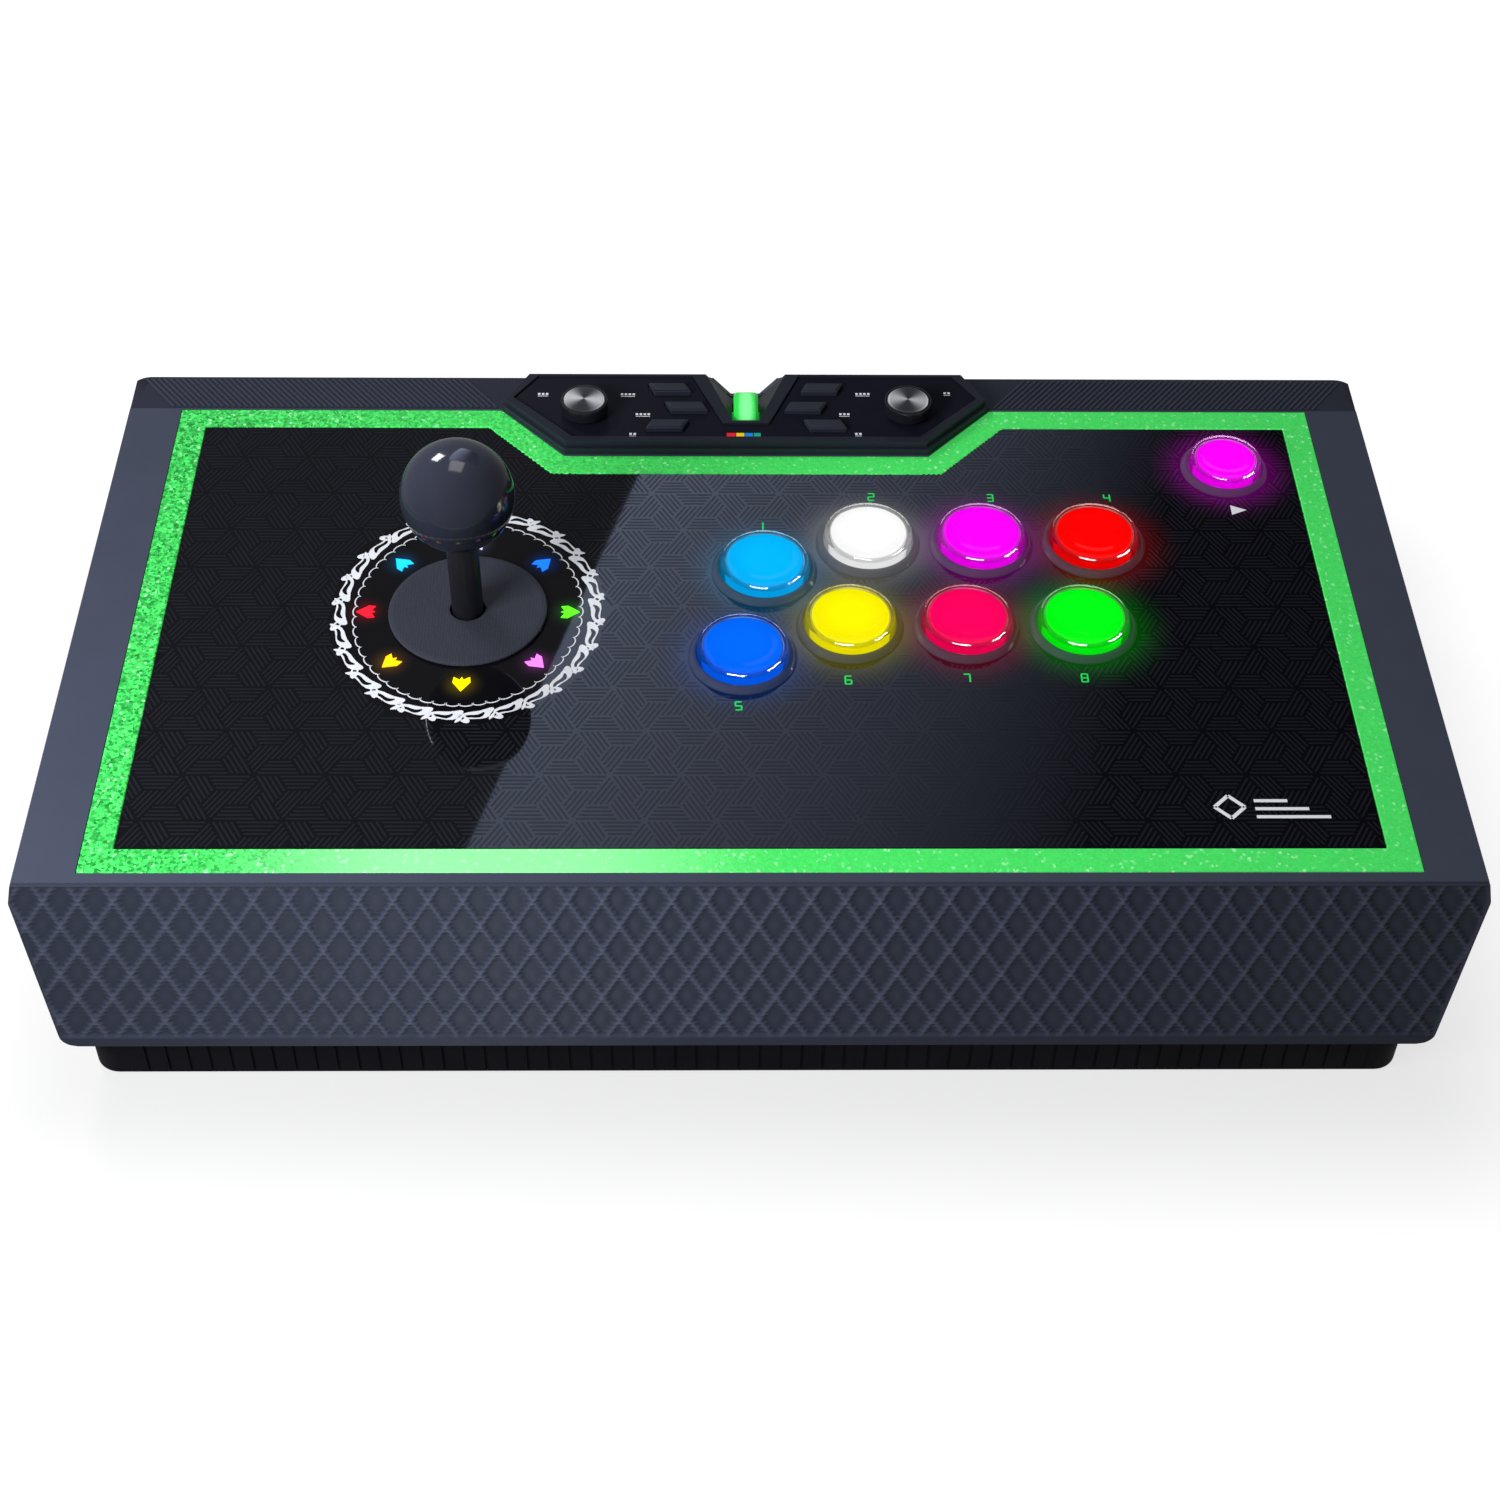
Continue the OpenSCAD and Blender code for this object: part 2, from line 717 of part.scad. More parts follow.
module knob_disc(side) color([0.75, 0.76, 0.78]) {
    z1 = z_top + knob_rise;
    rod(side * knob_x, rear - knob_back, z1 - disc_t, z1, knob_d / 2 - disc_rim - run_fit);
}

module knob_left() knob(-1);
module knob_right() knob(1);
module knob_disc_left() knob_disc(-1);
module knob_disc_right() knob_disc(1);

module thumb_wheel() color([0.35, 1, 0.45]) {
    translate([0, wheel_y, wheel_z]) rotate([0, 90, 0]) {
        cylinder(h = wheel_w, r = wheel_r, center = true);
        cylinder(h = 2 * wheel_axle_half, r = wheel_axle_r, center = true);
    }
}

module lens_form(grow, z0, z1) {
    translate([lens_spot[0], lens_spot[1], (z0 + z1) / 2])
        cube([lens_size[0] + 2 * grow, lens_size[1] + 2 * grow, z1 - z0], center = true);
}

module status_lens() color([0.9, 0.5, 0.3]) {
    lens_form(0, z_fascia, z_fascia + fascia_t + 0.1);
}

module module_board() color([0.05, 0.3, 0.14]) {
    z1 = z_mod_board + board_t;
    difference() {
        slab(inset(fascia_outline, 1.5 + fit), z_mod_board, z1);
        block([-wheel_w / 2 - 4, wheel_y - wheel_r - 1, z_mod_board - through],
              [wheel_w / 2 + 4, rear, z1 + through]);
    }
    for (side = [-1, 1]) {
        for (spot = key_rows)
            block([side * spot[0] - 3, spot[1] - 3, z1], [side * spot[0] + 3, spot[1] + 3, z1 + 2.6]);
        difference() {
            rod(side * knob_x, rear - knob_back, z1, z1 + 6.5, encoder_r);
            rod(side * knob_x, rear - knob_back, z1 + 1, z1 + 6.5 + through, knob_shaft_r + run_fit);
        }
    }
    block([-4, lens_spot[1] + fit, z1], [4, lens_spot[1] + 2, z1 + 1]);
}

// ---------- joystick ----------

module ball_top() color([0.12, 0.13, 0.15]) {
    translate([stick_x, stick_y, 0]) difference() {
        translate([0, 0, ball_z]) sphere(d = ball_d);
        translate([0, 0, ball_z - ball_d]) cylinder(h = ball_d + 4, r = shaft_r + run_fit);
        translate([0, 0, ball_z - ball_d]) cylinder(h = ball_d / 2 + 2, r = sleeve_r + run_fit);
    }
}

module shaft() color([0.55, 0.56, 0.58]) {
    rod(stick_x, stick_y, z_pivot - shaft_below, ball_z + 3.8, shaft_r);
}

module shaft_sleeve() color([0.05, 0.05, 0.055]) {
    z0 = z_pivot + block_size[2] / 2 + 0.1;
    difference() {
        rod(stick_x, stick_y, z0, ball_z - ball_d / 2 + 1.8, sleeve_r);
        rod(stick_x, stick_y, z0 - through, ball_z, shaft_r + run_fit);
    }
}

module dust_washer() color([0.16, 0.16, 0.18]) {
    difference() {
        rod(stick_x, stick_y, z_washer, z_washer + washer_t, washer_d / 2);
        rod(stick_x, stick_y, z_washer - through, z_washer + washer_t + through, washer_bore);
    }
}

module dust_shutter() color([0.1, 0.1, 0.11]) {
    translate([stick_x, stick_y, z_shutter]) linear_extrude(shutter_t) difference() {
        circle(shutter_r);
        square([2 * slot_half_x, 2 * slot_half_y], center = true);
    }
}

module gimbal_ring() color([0.75, 0.75, 0.72]) {
    translate([stick_x, stick_y, z_pivot]) difference() {
        union() {
            cube([2 * gimbal_out[0], 2 * gimbal_out[1], gimbal_h], center = true);
            rotate([0, 90, 0]) cylinder(h = 2 * house_half - 1, r = gimbal_pin_r, center = true);
        }
        cube([2 * gimbal_in[0], 2 * gimbal_in[1], 2 * gimbal_h], center = true);
        rotate([90, 0, 0]) cylinder(h = 4 * gimbal_out[1], r = block_pin_r + run_fit, center = true);
    }
}

module pivot_block() color([0.85, 0.85, 0.82]) {
    translate([stick_x, stick_y, z_pivot]) difference() {
        union() {
            cube(block_size, center = true);
            rotate([90, 0, 0]) cylinder(h = 2 * gimbal_out[1] - 0.6, r = block_pin_r, center = true);
        }
        cylinder(h = 2 * block_size[2], r = shaft_r + run_fit, center = true);
    }
}

module actuator() color([0.8, 0.2, 0.15]) {
    difference() {
        rod(stick_x, stick_y, z_switch - actuator_h / 2, z_switch + actuator_h / 2, actuator_r);
        rod(stick_x, stick_y, z_gate, z_pivot, shaft_r + run_fit);
    }
}

// Round wire wound on a helix: rings of points joined into one closed skin
module coil(r, wire, z0, z1, turns, sides = 8, per_turn = 14) {
    steps = turns * per_turn;
    pitch = (z1 - z0) / turns;
    slope = atan(pitch / (2 * PI * r));
    points = [
        for (i = [0:steps])
            let(a = 360 * i / per_turn, z = z0 + (z1 - z0) * i / steps)
            for (k = [0:sides - 1])
                let(b = 360 * k / sides, u = wire * cos(b), v = wire * sin(b))
                [
                    (r + u) * cos(a) + v * sin(slope) * sin(a),
                    (r + u) * sin(a) - v * sin(slope) * cos(a),
                    z + v * cos(slope)
                ]
    ];
    skin = [
        for (i = [0:steps - 1])
            for (k = [0:sides - 1])
                let(k2 = (k + 1) % sides, a = i * sides, b = a + sides)
                each [[a + k, b + k, b + k2], [a + k, b + k2, a + k2]]
    ];
    ends = [
        for (k = [1:sides - 2])
            each [[0, k, k + 1], [steps * sides, steps * sides + k + 1, steps * sides + k]]
    ];
    polyhedron(points, concat(skin, ends));
}

module centering_spring() color([0.7, 0.7, 0.72]) {
    translate([stick_x, stick_y, 0])
        coil(spring_r, spring_wire_r, spring_bottom, spring_top, spring_turns);
}

module lever_housing() color([0.06, 0.06, 0.065]) {
    inner = house_half - house_wall;
    translate([stick_x, stick_y, 0]) difference() {
        union() {
            block([-house_half, -house_half, z_gate], [house_half, house_half, z_plate - flange_t]);
            block([-house_flange[0] / 2, -house_flange[1] / 2, z_plate - flange_t],
                  [house_flange[0] / 2, house_flange[1] / 2, z_plate]);
        }
        difference() {
            block([-inner, -inner, z_house_floor], [inner, inner, z_plate - flange_t]);
            for (side = [-1, 1])
                translate([0, side * rail_y, z_shutter - slide_gap - rail_h / 2])
                    cube([2 * house_half, 2, rail_h], center = true);
        }
        rod(0, 0, z_plate - flange_t - through, z_plate + through, stick_hole_r);
        cube_hole = gate_half + 2.4;
        block([-cube_hole, -cube_hole, z_gate - through], [cube_hole, cube_hole, z_house_floor + through]);
        translate([0, 0, z_pivot]) rotate([0, 90, 0])
            cylinder(h = 4 * house_half, r = gimbal_pin_r + run_fit, center = true);
        for (sx = [-1, 1])
            for (sy = [-1, 1])
                rod(sx * lever_screw[0], sy * lever_screw[1], z_plate - flange_t - through,
                    z_plate + through, screw_r + run_fit);
    }
}

module restrictor_gate() color([0.1, 0.25, 0.7]) {
    translate([stick_x, stick_y, 0]) difference() {
        block([-house_half, -house_half, z_gate - gate_t], [house_half, house_half, z_gate]);
        block([-gate_half, -gate_half, z_gate - gate_t - through], [gate_half, gate_half, z_gate + through]);
    }
}

module lever_switches() color([0.75, 0.12, 0.1]) {
    for (a = [0:90:270])
        translate([stick_x, stick_y, z_house_floor]) rotate([0, 0, a]) {
            x0 = switch_gap + switch_button_l;
            block([x0, -lever_switch_size[0] / 2, 0],
                  [x0 + lever_switch_size[1], lever_switch_size[0] / 2, lever_switch_size[2]]);
            block([switch_gap, -2, lever_switch_size[2] / 2 - 1],
                  [x0 + 1, 2, lever_switch_size[2] / 2 + 1]);
        }
}

// ---------- buttons ----------

module plunger(i) color([0.8, 0.85, 0.9, 0.5]) {
    b = button_spots[i];
    r = b[2] / 2;
    z1 = z_top + plunger_rise;
    z0 = z1 - plunger_skirt;
    z_floor = z_panel - barrel_len + barrel_floor;
    z_web = z_floor + plunger_travel + 3;
    web_t = 1.5;
    translate([b[0], b[1], 0]) {
        rotate_extrude() polygon([
            [r - plunger_wall, z0], [r, z0], [r, z1 - 1], [r - 1, z1], [0, z1],
            [0, z1 - plunger_top_t], [r - plunger_wall, z1 - plunger_top_t]
        ]);
        // Stem over the switch, carried by a web and four legs from the skirt
        rod(0, 0, z_floor - barrel_floor + plunger_travel + slide_gap, z_web, stem_r - slide_gap);
        rod(0, 0, z_web - web_t, z_web, r - plunger_wall - 0.5);
        for (a = [45:90:315])
            rotate([0, 0, a]) block([r - plunger_wall - 3, -2, z_web - 0.5], [r - 0.4, 2, z0 + 0.5]);
    }
}

module lamp(i, tint) color(tint) {
    b = button_spots[i];
    z1 = z_top + plunger_rise - plunger_top_t;
    rod(b[0], b[1], z1 - lamp_t, z1, b[2] / 2 - plunger_wall - fit);
}

module plunger_1() plunger(0);
module plunger_2() plunger(1);
module plunger_3() plunger(2);
module plunger_4() plunger(3);
module plunger_5() plunger(4);
module plunger_6() plunger(5);
module plunger_7() plunger(6);
module plunger_8() plunger(7);
module plunger_start() plunger(8);

module lamp_1() lamp(0, [0, 0.65, 1]);
module lamp_2() lamp(1, [1, 1, 1]);
module lamp_3() lamp(2, [1, 0, 1]);
module lamp_4() lamp(3, [1, 0, 0]);
module lamp_5() lamp(4, [0, 0.35, 1]);
module lamp_6() lamp(5, [1, 0.9, 0]);
module lamp_7() lamp(6, [1, 0, 0.35]);
module lamp_8() lamp(7, [0, 1, 0.1]);
module lamp_start() lamp(8, [1, 0, 1]);

module button_housings() color([0.05, 0.05, 0.06]) {
    for (b = button_spots) {
        bore = b[2] / 2 + slide_gap;
        z0 = z_panel - barrel_len;
        translate([b[0], b[1], 0]) rotate_extrude() polygon([
            [stem_r, z0], [barrel_r(b[2]), z0], [barrel_r(b[2]), z_panel],
            [rim_r(b[2]), z_panel], [rim_r(b[2]), z_panel + rim_h - 1],
            [rim_r(b[2]) - 1, z_panel + rim_h], [bore, z_panel + rim_h],
            [bore, z0 + barrel_floor], [stem_r, z0 + barrel_floor]
        ]);
    }
}

module button_nuts() color([0.1, 0.1, 0.11]) {
    for (b = button_spots)
        translate([b[0], b[1], z_plate - nut_h]) linear_extrude(nut_h) difference() {
            circle(barrel_r(b[2]) + nut_w);
            circle(barrel_r(b[2]) + run_fit);
        }
}

module button_switches() color([0.7, 0.7, 0.68]) {
    for (b = button_spots) {
        z1 = z_panel - barrel_len;
        block([b[0] - switch_size[0] / 2, b[1] - switch_size[1] / 2, z1 - switch_size[2]],
              [b[0] + switch_size[0] / 2, b[1] + switch_size[1] / 2, z1]);
    }
}

case_shell();
front_cover();
rear_trims();
base_tray();
feet();
machine_screws();
green_frame();
mounting_plate();
art_panel();
direction_lenses();
main_board();
usb_socket();
module_housing();
module_fascia();
key_left_rear();
key_left_middle();
key_left_front();
key_right_rear();
key_right_middle();
key_right_front();
knob_left();
knob_right();
knob_disc_left();
knob_disc_right();
thumb_wheel();
status_lens();
module_board();
ball_top();
shaft();
shaft_sleeve();
dust_washer();
dust_shutter();
gimbal_ring();
pivot_block();
actuator();
centering_spring();
lever_housing();
restrictor_gate();
lever_switches();
plunger_1();
plunger_2();
plunger_3();
plunger_4();
plunger_5();
plunger_6();
plunger_7();
plunger_8();
plunger_start();
lamp_1();
lamp_2();
lamp_3();
lamp_4();
lamp_5();
lamp_6();
lamp_7();
lamp_8();
lamp_start();
button_housings();
button_nuts();
button_switches();
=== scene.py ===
import bmesh
import bpy
import json
import math
from mathutils import Matrix, Vector


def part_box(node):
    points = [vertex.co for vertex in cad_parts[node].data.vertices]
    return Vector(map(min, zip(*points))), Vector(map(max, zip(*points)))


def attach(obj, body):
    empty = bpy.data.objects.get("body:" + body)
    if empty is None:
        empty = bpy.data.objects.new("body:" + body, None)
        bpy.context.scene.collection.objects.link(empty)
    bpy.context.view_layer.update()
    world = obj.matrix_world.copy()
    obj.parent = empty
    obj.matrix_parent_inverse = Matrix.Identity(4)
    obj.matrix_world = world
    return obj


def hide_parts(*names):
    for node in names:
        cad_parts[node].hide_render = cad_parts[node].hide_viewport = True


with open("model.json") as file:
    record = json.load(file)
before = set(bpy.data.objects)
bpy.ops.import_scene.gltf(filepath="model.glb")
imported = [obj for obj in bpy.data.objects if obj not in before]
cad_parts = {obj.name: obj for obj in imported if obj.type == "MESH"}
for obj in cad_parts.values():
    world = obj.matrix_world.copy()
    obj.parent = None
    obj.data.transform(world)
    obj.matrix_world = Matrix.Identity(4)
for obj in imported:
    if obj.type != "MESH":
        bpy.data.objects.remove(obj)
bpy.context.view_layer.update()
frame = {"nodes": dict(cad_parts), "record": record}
nodes = frame["nodes"]
homeBody = {n: b for b, group in frame["record"]["behaviour"]["bodies"].items() for n in group}
mm = 0.001
print("frame loaded:", len(nodes), "nodes")


# tools shared by all the pieces

def span(node):
    low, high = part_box(node)
    return low / mm, high / mm


def tone(red, green, blue):
    def linear(c):
        c /= 255
        return c / 12.92 if c <= 0.04045 else ((c + 0.055) / 1.055) ** 2.4
    return (linear(red), linear(green), linear(blue))


def addNode(tree, kind, **settings):
    made = tree.nodes.new(kind)
    for key, value in settings.items():
        setattr(made, key, value)
    return made


def feed(tree, socket, value):
    if isinstance(value, bpy.types.NodeSocket):
        tree.links.new(value, socket)
    else:
        socket.default_value = value


def mathNode(tree, operation, *values):
    made = addNode(tree, "ShaderNodeMath", operation=operation)
    for socket, value in zip(made.inputs, values):
        feed(tree, socket, value)
    return made.outputs[0]


def mixColour(tree, share, first, second):
    made = addNode(tree, "ShaderNodeMix", data_type="RGBA")
    for name, value in (("Factor_Float", share), ("A_Color", first), ("B_Color", second)):
        socket = next(s for s in made.inputs if s.identifier == name)
        if isinstance(value, tuple) and len(value) == 3:
            value = (*value, 1)
        feed(tree, socket, value)
    return next(s for s in made.outputs if s.identifier == "Result_Color")


def remap(tree, value, fromLow, fromHigh, toLow, toHigh, shape="LINEAR"):
    made = addNode(tree, "ShaderNodeMapRange", interpolation_type=shape)
    for socket, entry in zip(made.inputs, (value, fromLow, fromHigh, toLow, toHigh)):
        feed(tree, socket, entry)
    return made.outputs["Result"]


def objectPlace(tree):
    return addNode(tree, "ShaderNodeTexCoord").outputs["Object"]


def axesOf(tree, vector=None):
    split = addNode(tree, "ShaderNodeSeparateXYZ")
    feed(tree, split.inputs[0], vector or objectPlace(tree))
    return split.outputs


def combined(tree, **parts):
    made = addNode(tree, "ShaderNodeCombineXYZ")
    for axis, value in parts.items():
        feed(tree, made.inputs[axis], value)
    return made.outputs[0]


def vectorNode(tree, operation, first, second):
    made = addNode(tree, "ShaderNodeVectorMath", operation=operation)
    feed(tree, made.inputs[0], first)
    feed(tree, made.inputs["Scale" if operation == "SCALE" else 1], second)
    return made.outputs["Value" if operation == "DISTANCE" else "Vector"]


def noise(tree, scale, detail=3):
    made = addNode(tree, "ShaderNodeTexNoise")
    feed(tree, made.inputs["Vector"], objectPlace(tree))
    made.inputs["Scale"].default_value = scale
    made.inputs["Detail"].default_value = detail
    return made.outputs["Fac"]


def cells(tree, scale, randomness=1.0):
    made = addNode(tree, "ShaderNodeTexVoronoi", feature="F1")
    feed(tree, made.inputs["Vector"], objectPlace(tree))
    made.inputs["Scale"].default_value = scale
    made.inputs["Randomness"].default_value = randomness
    return made.outputs


def opened(made):
    return made.node_tree, made.node_tree.nodes["Principled BSDF"]


def newMaterial(name):
    made = bpy.data.materials.new(name)
    made.use_nodes = True
    return (made, *opened(made))


def reBump(tree, distance, strength, height):
    bump = next(n for n in tree.nodes if n.type == "BUMP")
    bump.inputs["Distance"].default_value = distance * mm
    bump.inputs["Strength"].default_value = strength
    feed(tree, bump.inputs["Height"], height)


def litBy(tree, shader, colour, strength):
    feed(tree, shader.inputs["Emission Color"], colour)
    shader.inputs["Emission Strength"].default_value = strength


def finish(name, colour, rough, grain, spread, patches=0.06, patchScale=60, **sockets):
    made, tree, shader = newMaterial(name)
    for key, value in sockets.items():
        shader.inputs[key.replace("_", " ")].default_value = value
    drift = noise(tree, patchScale, 4)
    darker = tuple(c * (1 - spread) for c in colour)
    lighter = tuple(min(1, c * (1 + spread)) for c in colour)
    feed(tree, shader.inputs["Base Color"], mixColour(tree, drift, darker, lighter))
    feed(tree, shader.inputs["Roughness"],
         remap(tree, noise(tree, patchScale * 2.3, 5), 0.3, 0.7,
               max(0.01, rough - patches), min(1, rough + patches)))
    bump = addNode(tree, "ShaderNodeBump")
    bump.inputs["Strength"].default_value = 0.6
    bump.inputs["Distance"].default_value = grain[1] * mm
    feed(tree, bump.inputs["Height"], noise(tree, grain[0], 2))
    feed(tree, shader.inputs["Normal"], bump.outputs["Normal"])
    return made


def linked(name, data):
    made = bpy.data.objects.new(name, data)
    bpy.context.scene.collection.objects.link(made)
    return made


def meshOf(name, verts, faces=None):
    mesh = bpy.data.meshes.new(name)
    mesh.from_pydata([Vector(v) * mm for v in verts], [], faces or [])
    return mesh


def meshFrom(work, name):
    mesh = bpy.data.meshes.new(name)
    work.to_mesh(mesh)
    work.free()
    return mesh


def merged(node):
    work = bmesh.new()
    work.from_mesh(nodes[node].data)
    bmesh.ops.remove_doubles(work, verts=work.verts, dist=0.002 * mm)
    return work


def settle(piece, finishes, body, stands=(), smooth=35):
    for entry in finishes if isinstance(finishes, (list, tuple)) else [finishes]:
        piece.data.materials.append(entry)
    if smooth:
        piece.data.shade_smooth()
        piece.data.set_sharp_from_angle(angle=math.radians(smooth))
    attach(piece, body)
    if stands:
        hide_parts(*stands)
    return piece


def newPiece(name, verts, faces, finishes, body, stands=(), slotName=None, smooth=35):
    mesh = meshOf(name, verts, faces)
    work = bmesh.new()
    work.from_mesh(mesh)
    bmesh.ops.recalc_face_normals(work, faces=work.faces)
    work.to_mesh(mesh)
    work.free()
    return settle(linked(name, mesh), finishes, body, stands, smooth)


def filleted(points, steps=5):
    out = []
    for i, (x, y, *extra) in enumerate(points):
        corner = Vector((x, y))
        if not extra or not extra[0]:
            out.append((x, y))
            continue
        before = (Vector(points[i - 1][:2]) - corner)
        after = (Vector(points[(i + 1) % len(points)][:2]) - corner)
        half = before.angle(after) / 2
        if half > 1.56:  # a straight run has no corner to round
            out.append((x, y))
            continue
        cut = min(extra[0] / math.tan(half), 0.49 * before.length, 0.49 * after.length)
        before.normalize()
        after.normalize()
        centre = corner + (before + after).normalized() * cut / math.cos(half)
        first, last = corner + before * cut - centre, corner + after * cut - centre
        turn = first.angle(last)
        for k in range(steps + 1):
            t = k / steps
            v = (first * math.sin((1 - t) * turn) + last * math.sin(t * turn)) / math.sin(turn)
            out.append(tuple(centre + v))
    return out


def turned(profile, centre, sides=72, axis="Z"):
    verts, faces, rings = [], [], []
    for radius, height in profile:
        start = len(verts)
        if radius < 1e-6:
            ring = [start] * sides
            spots = [(0, 0, height)]
        else:
            ring = [start + k for k in range(sides)]
            spots = [(radius * math.cos(2 * math.pi * k / sides),
                      radius * math.sin(2 * math.pi * k / sides), height) for k in range(sides)]
        for x, y, z in spots:
            spot = (x, y, z) if axis == "Z" else (z, x, y)
            verts.append(tuple(spot[n] + centre[n] for n in range(3)))
        rings.append(ring)
    for i, ring in enumerate(rings):
        other = rings[(i + 1) % len(rings)]
        if i == len(rings) - 1 and profile[0][0] < 1e-6 and profile[-1][0] < 1e-6:
            break
        for k in range(sides):
            corners = [ring[k], ring[(k + 1) % sides], other[(k + 1) % sides], other[k]]
            corners = list(dict.fromkeys(corners))
            if len(corners) > 2:
                faces.append(corners)
    return verts, faces


def prism(outline, low, high):
    count = len(outline)
    verts = [(x, y, low) for x, y in outline] + [(x, y, high) for x, y in outline]
    faces = [[k, (k + 1) % count, count + (k + 1) % count, count + k] for k in range(count)]
    faces += [list(reversed(range(count))), [count + k for k in range(count)]]
    return verts, faces


# angles in degrees; only faces narrower than "narrow" are shaded smooth
bevels = {"flat": 0.5, "smoothFrom": 1, "smoothTo": 25, "narrow": 6, "steps": 2}


def softened(name, node, width, finishes, angle=35, keep=None):
    work = merged(node)
    bmesh.ops.dissolve_limit(work, angle_limit=math.radians(bevels["flat"]), verts=work.verts,
                             edges=work.edges)
    edges = [e for e in work.edges
             if len(e.link_faces) == 2 and e.calc_face_angle(0) > math.radians(angle)
             and e.is_convex and (keep is None or keep(e))]
    least, most = math.radians(bevels["smoothFrom"]), math.radians(bevels["smoothTo"])
    for face in work.faces:
        turns = [e.calc_face_angle(0) for e in face.edges if len(e.link_faces) == 2]
        longest = max(e.calc_length() for e in face.edges)
        narrow = face.calc_area() < bevels["narrow"] * mm * longest
        face.smooth = narrow and any(least < t < most for t in turns)
    made = bmesh.ops.bevel(work, geom=edges, offset=width * mm, segments=bevels["steps"],
                           profile=0.5, affect="EDGES", clamp_overlap=True)
    for face in made["faces"]:
        face.smooth = True
    bmesh.ops.recalc_face_normals(work, faces=work.faces)
    return settle(linked(name, meshFrom(work, name)), finishes, homeBody[node], [node],
                  0)


def newTree(name, inputs):
    tree = bpy.data.node_groups.new(name, "GeometryNodeTree")
    tree.interface.new_socket("Geometry", in_out="INPUT", socket_type="NodeSocketGeometry")
    for label, kind, value in inputs:
        socket = tree.interface.new_socket(label, in_out="INPUT", socket_type=kind)
        if value is not None:
            socket.default_value = value
    tree.interface.new_socket("Geometry", in_out="OUTPUT", socket_type="NodeSocketGeometry")
    return tree, addNode(tree, "NodeGroupInput"), addNode(tree, "NodeGroupOutput")


def finishTree(tree, geometry, output, material):
    real = addNode(tree, "GeometryNodeRealizeInstances")
    tree.links.new(geometry, real.inputs["Geometry"])
    paint = addNode(tree, "GeometryNodeSetMaterial")
    paint.inputs["Material"].default_value = material
    tree.links.new(real.outputs["Geometry"], paint.inputs["Geometry"])
    tree.links.new(paint.outputs["Geometry"], output.inputs["Geometry"])


def instanced(tree, points, shape, angle, size=None):
    rotation = addNode(tree, "FunctionNodeEulerToRotation")
    feed(tree, rotation.inputs[0], combined(tree, Z=angle))
    place = addNode(tree, "GeometryNodeInstanceOnPoints")
    feed(tree, place.inputs["Points"], points)
    feed(tree, place.inputs["Instance"], shape)
    feed(tree, place.inputs["Rotation"], rotation.outputs[0])
    if size is not None:
        feed(tree, place.inputs["Scale"], size)
    return place.outputs["Instances"]


def grown(name, base, tree, values, body, stands=(), smooth=30):
    holder = linked(name + "_seed", base)
    growth = holder.modifiers.new("growth", "NODES")
    growth.node_group = tree
    for item in tree.interface.items_tree:
        if item.in_out == "INPUT" and item.name in values:
            growth[item.identifier] = values[item.name]
    bpy.context.view_layer.update()
    graph = bpy.context.evaluated_depsgraph_get()
    mesh = bpy.data.meshes.new_from_object(holder.evaluated_get(graph), depsgraph=graph)
    holder.modifiers.remove(growth)
    bpy.data.objects.remove(holder)
    return settle(linked(name, mesh), [], body, stands, smooth)


def pointMesh(name, points, **columns):
    mesh = meshOf(name, points)
    for label, values in columns.items():
        mesh.attributes.new(label, "FLOAT", "POINT").data.foreach_set("value", values)
    return mesh


def namedFloat(tree, label):
    made = addNode(tree, "GeometryNodeInputNamedAttribute", data_type="FLOAT")
    made.inputs["Name"].default_value = label
    return made.outputs["Attribute"]


def strokeTree(name, material):
    tree, source, output = newTree(name, [("Stroke Height", "NodeSocketFloat", 0.0002)])
    bar = addNode(tree, "GeometryNodeMeshCube")
    bar.inputs["Size"].default_value = (1, 1, 1)
    size = combined(tree, X=namedFloat(tree, "run"), Y=namedFloat(tree, "wide"),
                    Z=source.outputs["Stroke Height"])
    placed = instanced(tree, source.outputs["Geometry"], bar.outputs["Mesh"],
                       namedFloat(tree, "turn"), size)
    finishTree(tree, placed, output, material)
    return tree


def strokes(name, rows, low, high, material):
    # each row holds x, y, turn, run and width
    base = pointMesh(name, [(r[0], r[1], (low + high) / 2) for r in rows],
                     turn=[r[2] for r in rows], run=[r[3] * mm for r in rows],
                     wide=[r[4] * mm for r in rows])
    return grown(name, base, strokeTree(name + "_tree", material),
                 {"Stroke Height": (high - low) * mm}, "root", (), smooth=0)


def line(x0, y0, x1, y1, wide):
    return ((x0 + x1) / 2, (y0 + y1) / 2, math.atan2(y1 - y0, x1 - x0),
            math.hypot(x1 - x0, y1 - y0), wide)


def inside(x, y, outline):
    hit = False
    for (ax, ay), (bx, by) in zip(outline, outline[1:] + outline[:1]):
        if (ay > y) != (by > y) and x < (bx - ax) * (y - ay) / (by - ay) + ax:
            hit = not hit
    return hit


# places read from the frame

deckTop = span("case_shell")[1].z
panelTop = span("art_panel")[1].z
frontY = span("front_cover")[0].y
rearY = span("case_shell")[1].y
washerLow, washerHigh = span("dust_washer")
leverX, leverY = (washerLow.x + washerHigh.x) / 2, (washerLow.y + washerHigh.y) / 2
buttonNames = [str(k) for k in range(1, 9)] + ["start"]
buttonSpots = {}
for label in buttonNames:
    low, high = span("plunger_" + label)
    buttonSpots[label] = ((low.x + high.x) / 2, (low.y + high.y) / 2, (high.x - low.x) / 2)
lightColours = {
    "1": (0, 192, 255), "2": (255, 255, 255), "3": (255, 0, 255), "4": (255, 0, 0),
    "5": (0, 116, 255), "6": (255, 246, 0), "7": (255, 0, 104), "8": (0, 255, 24),
    "start": (255, 0, 255)}
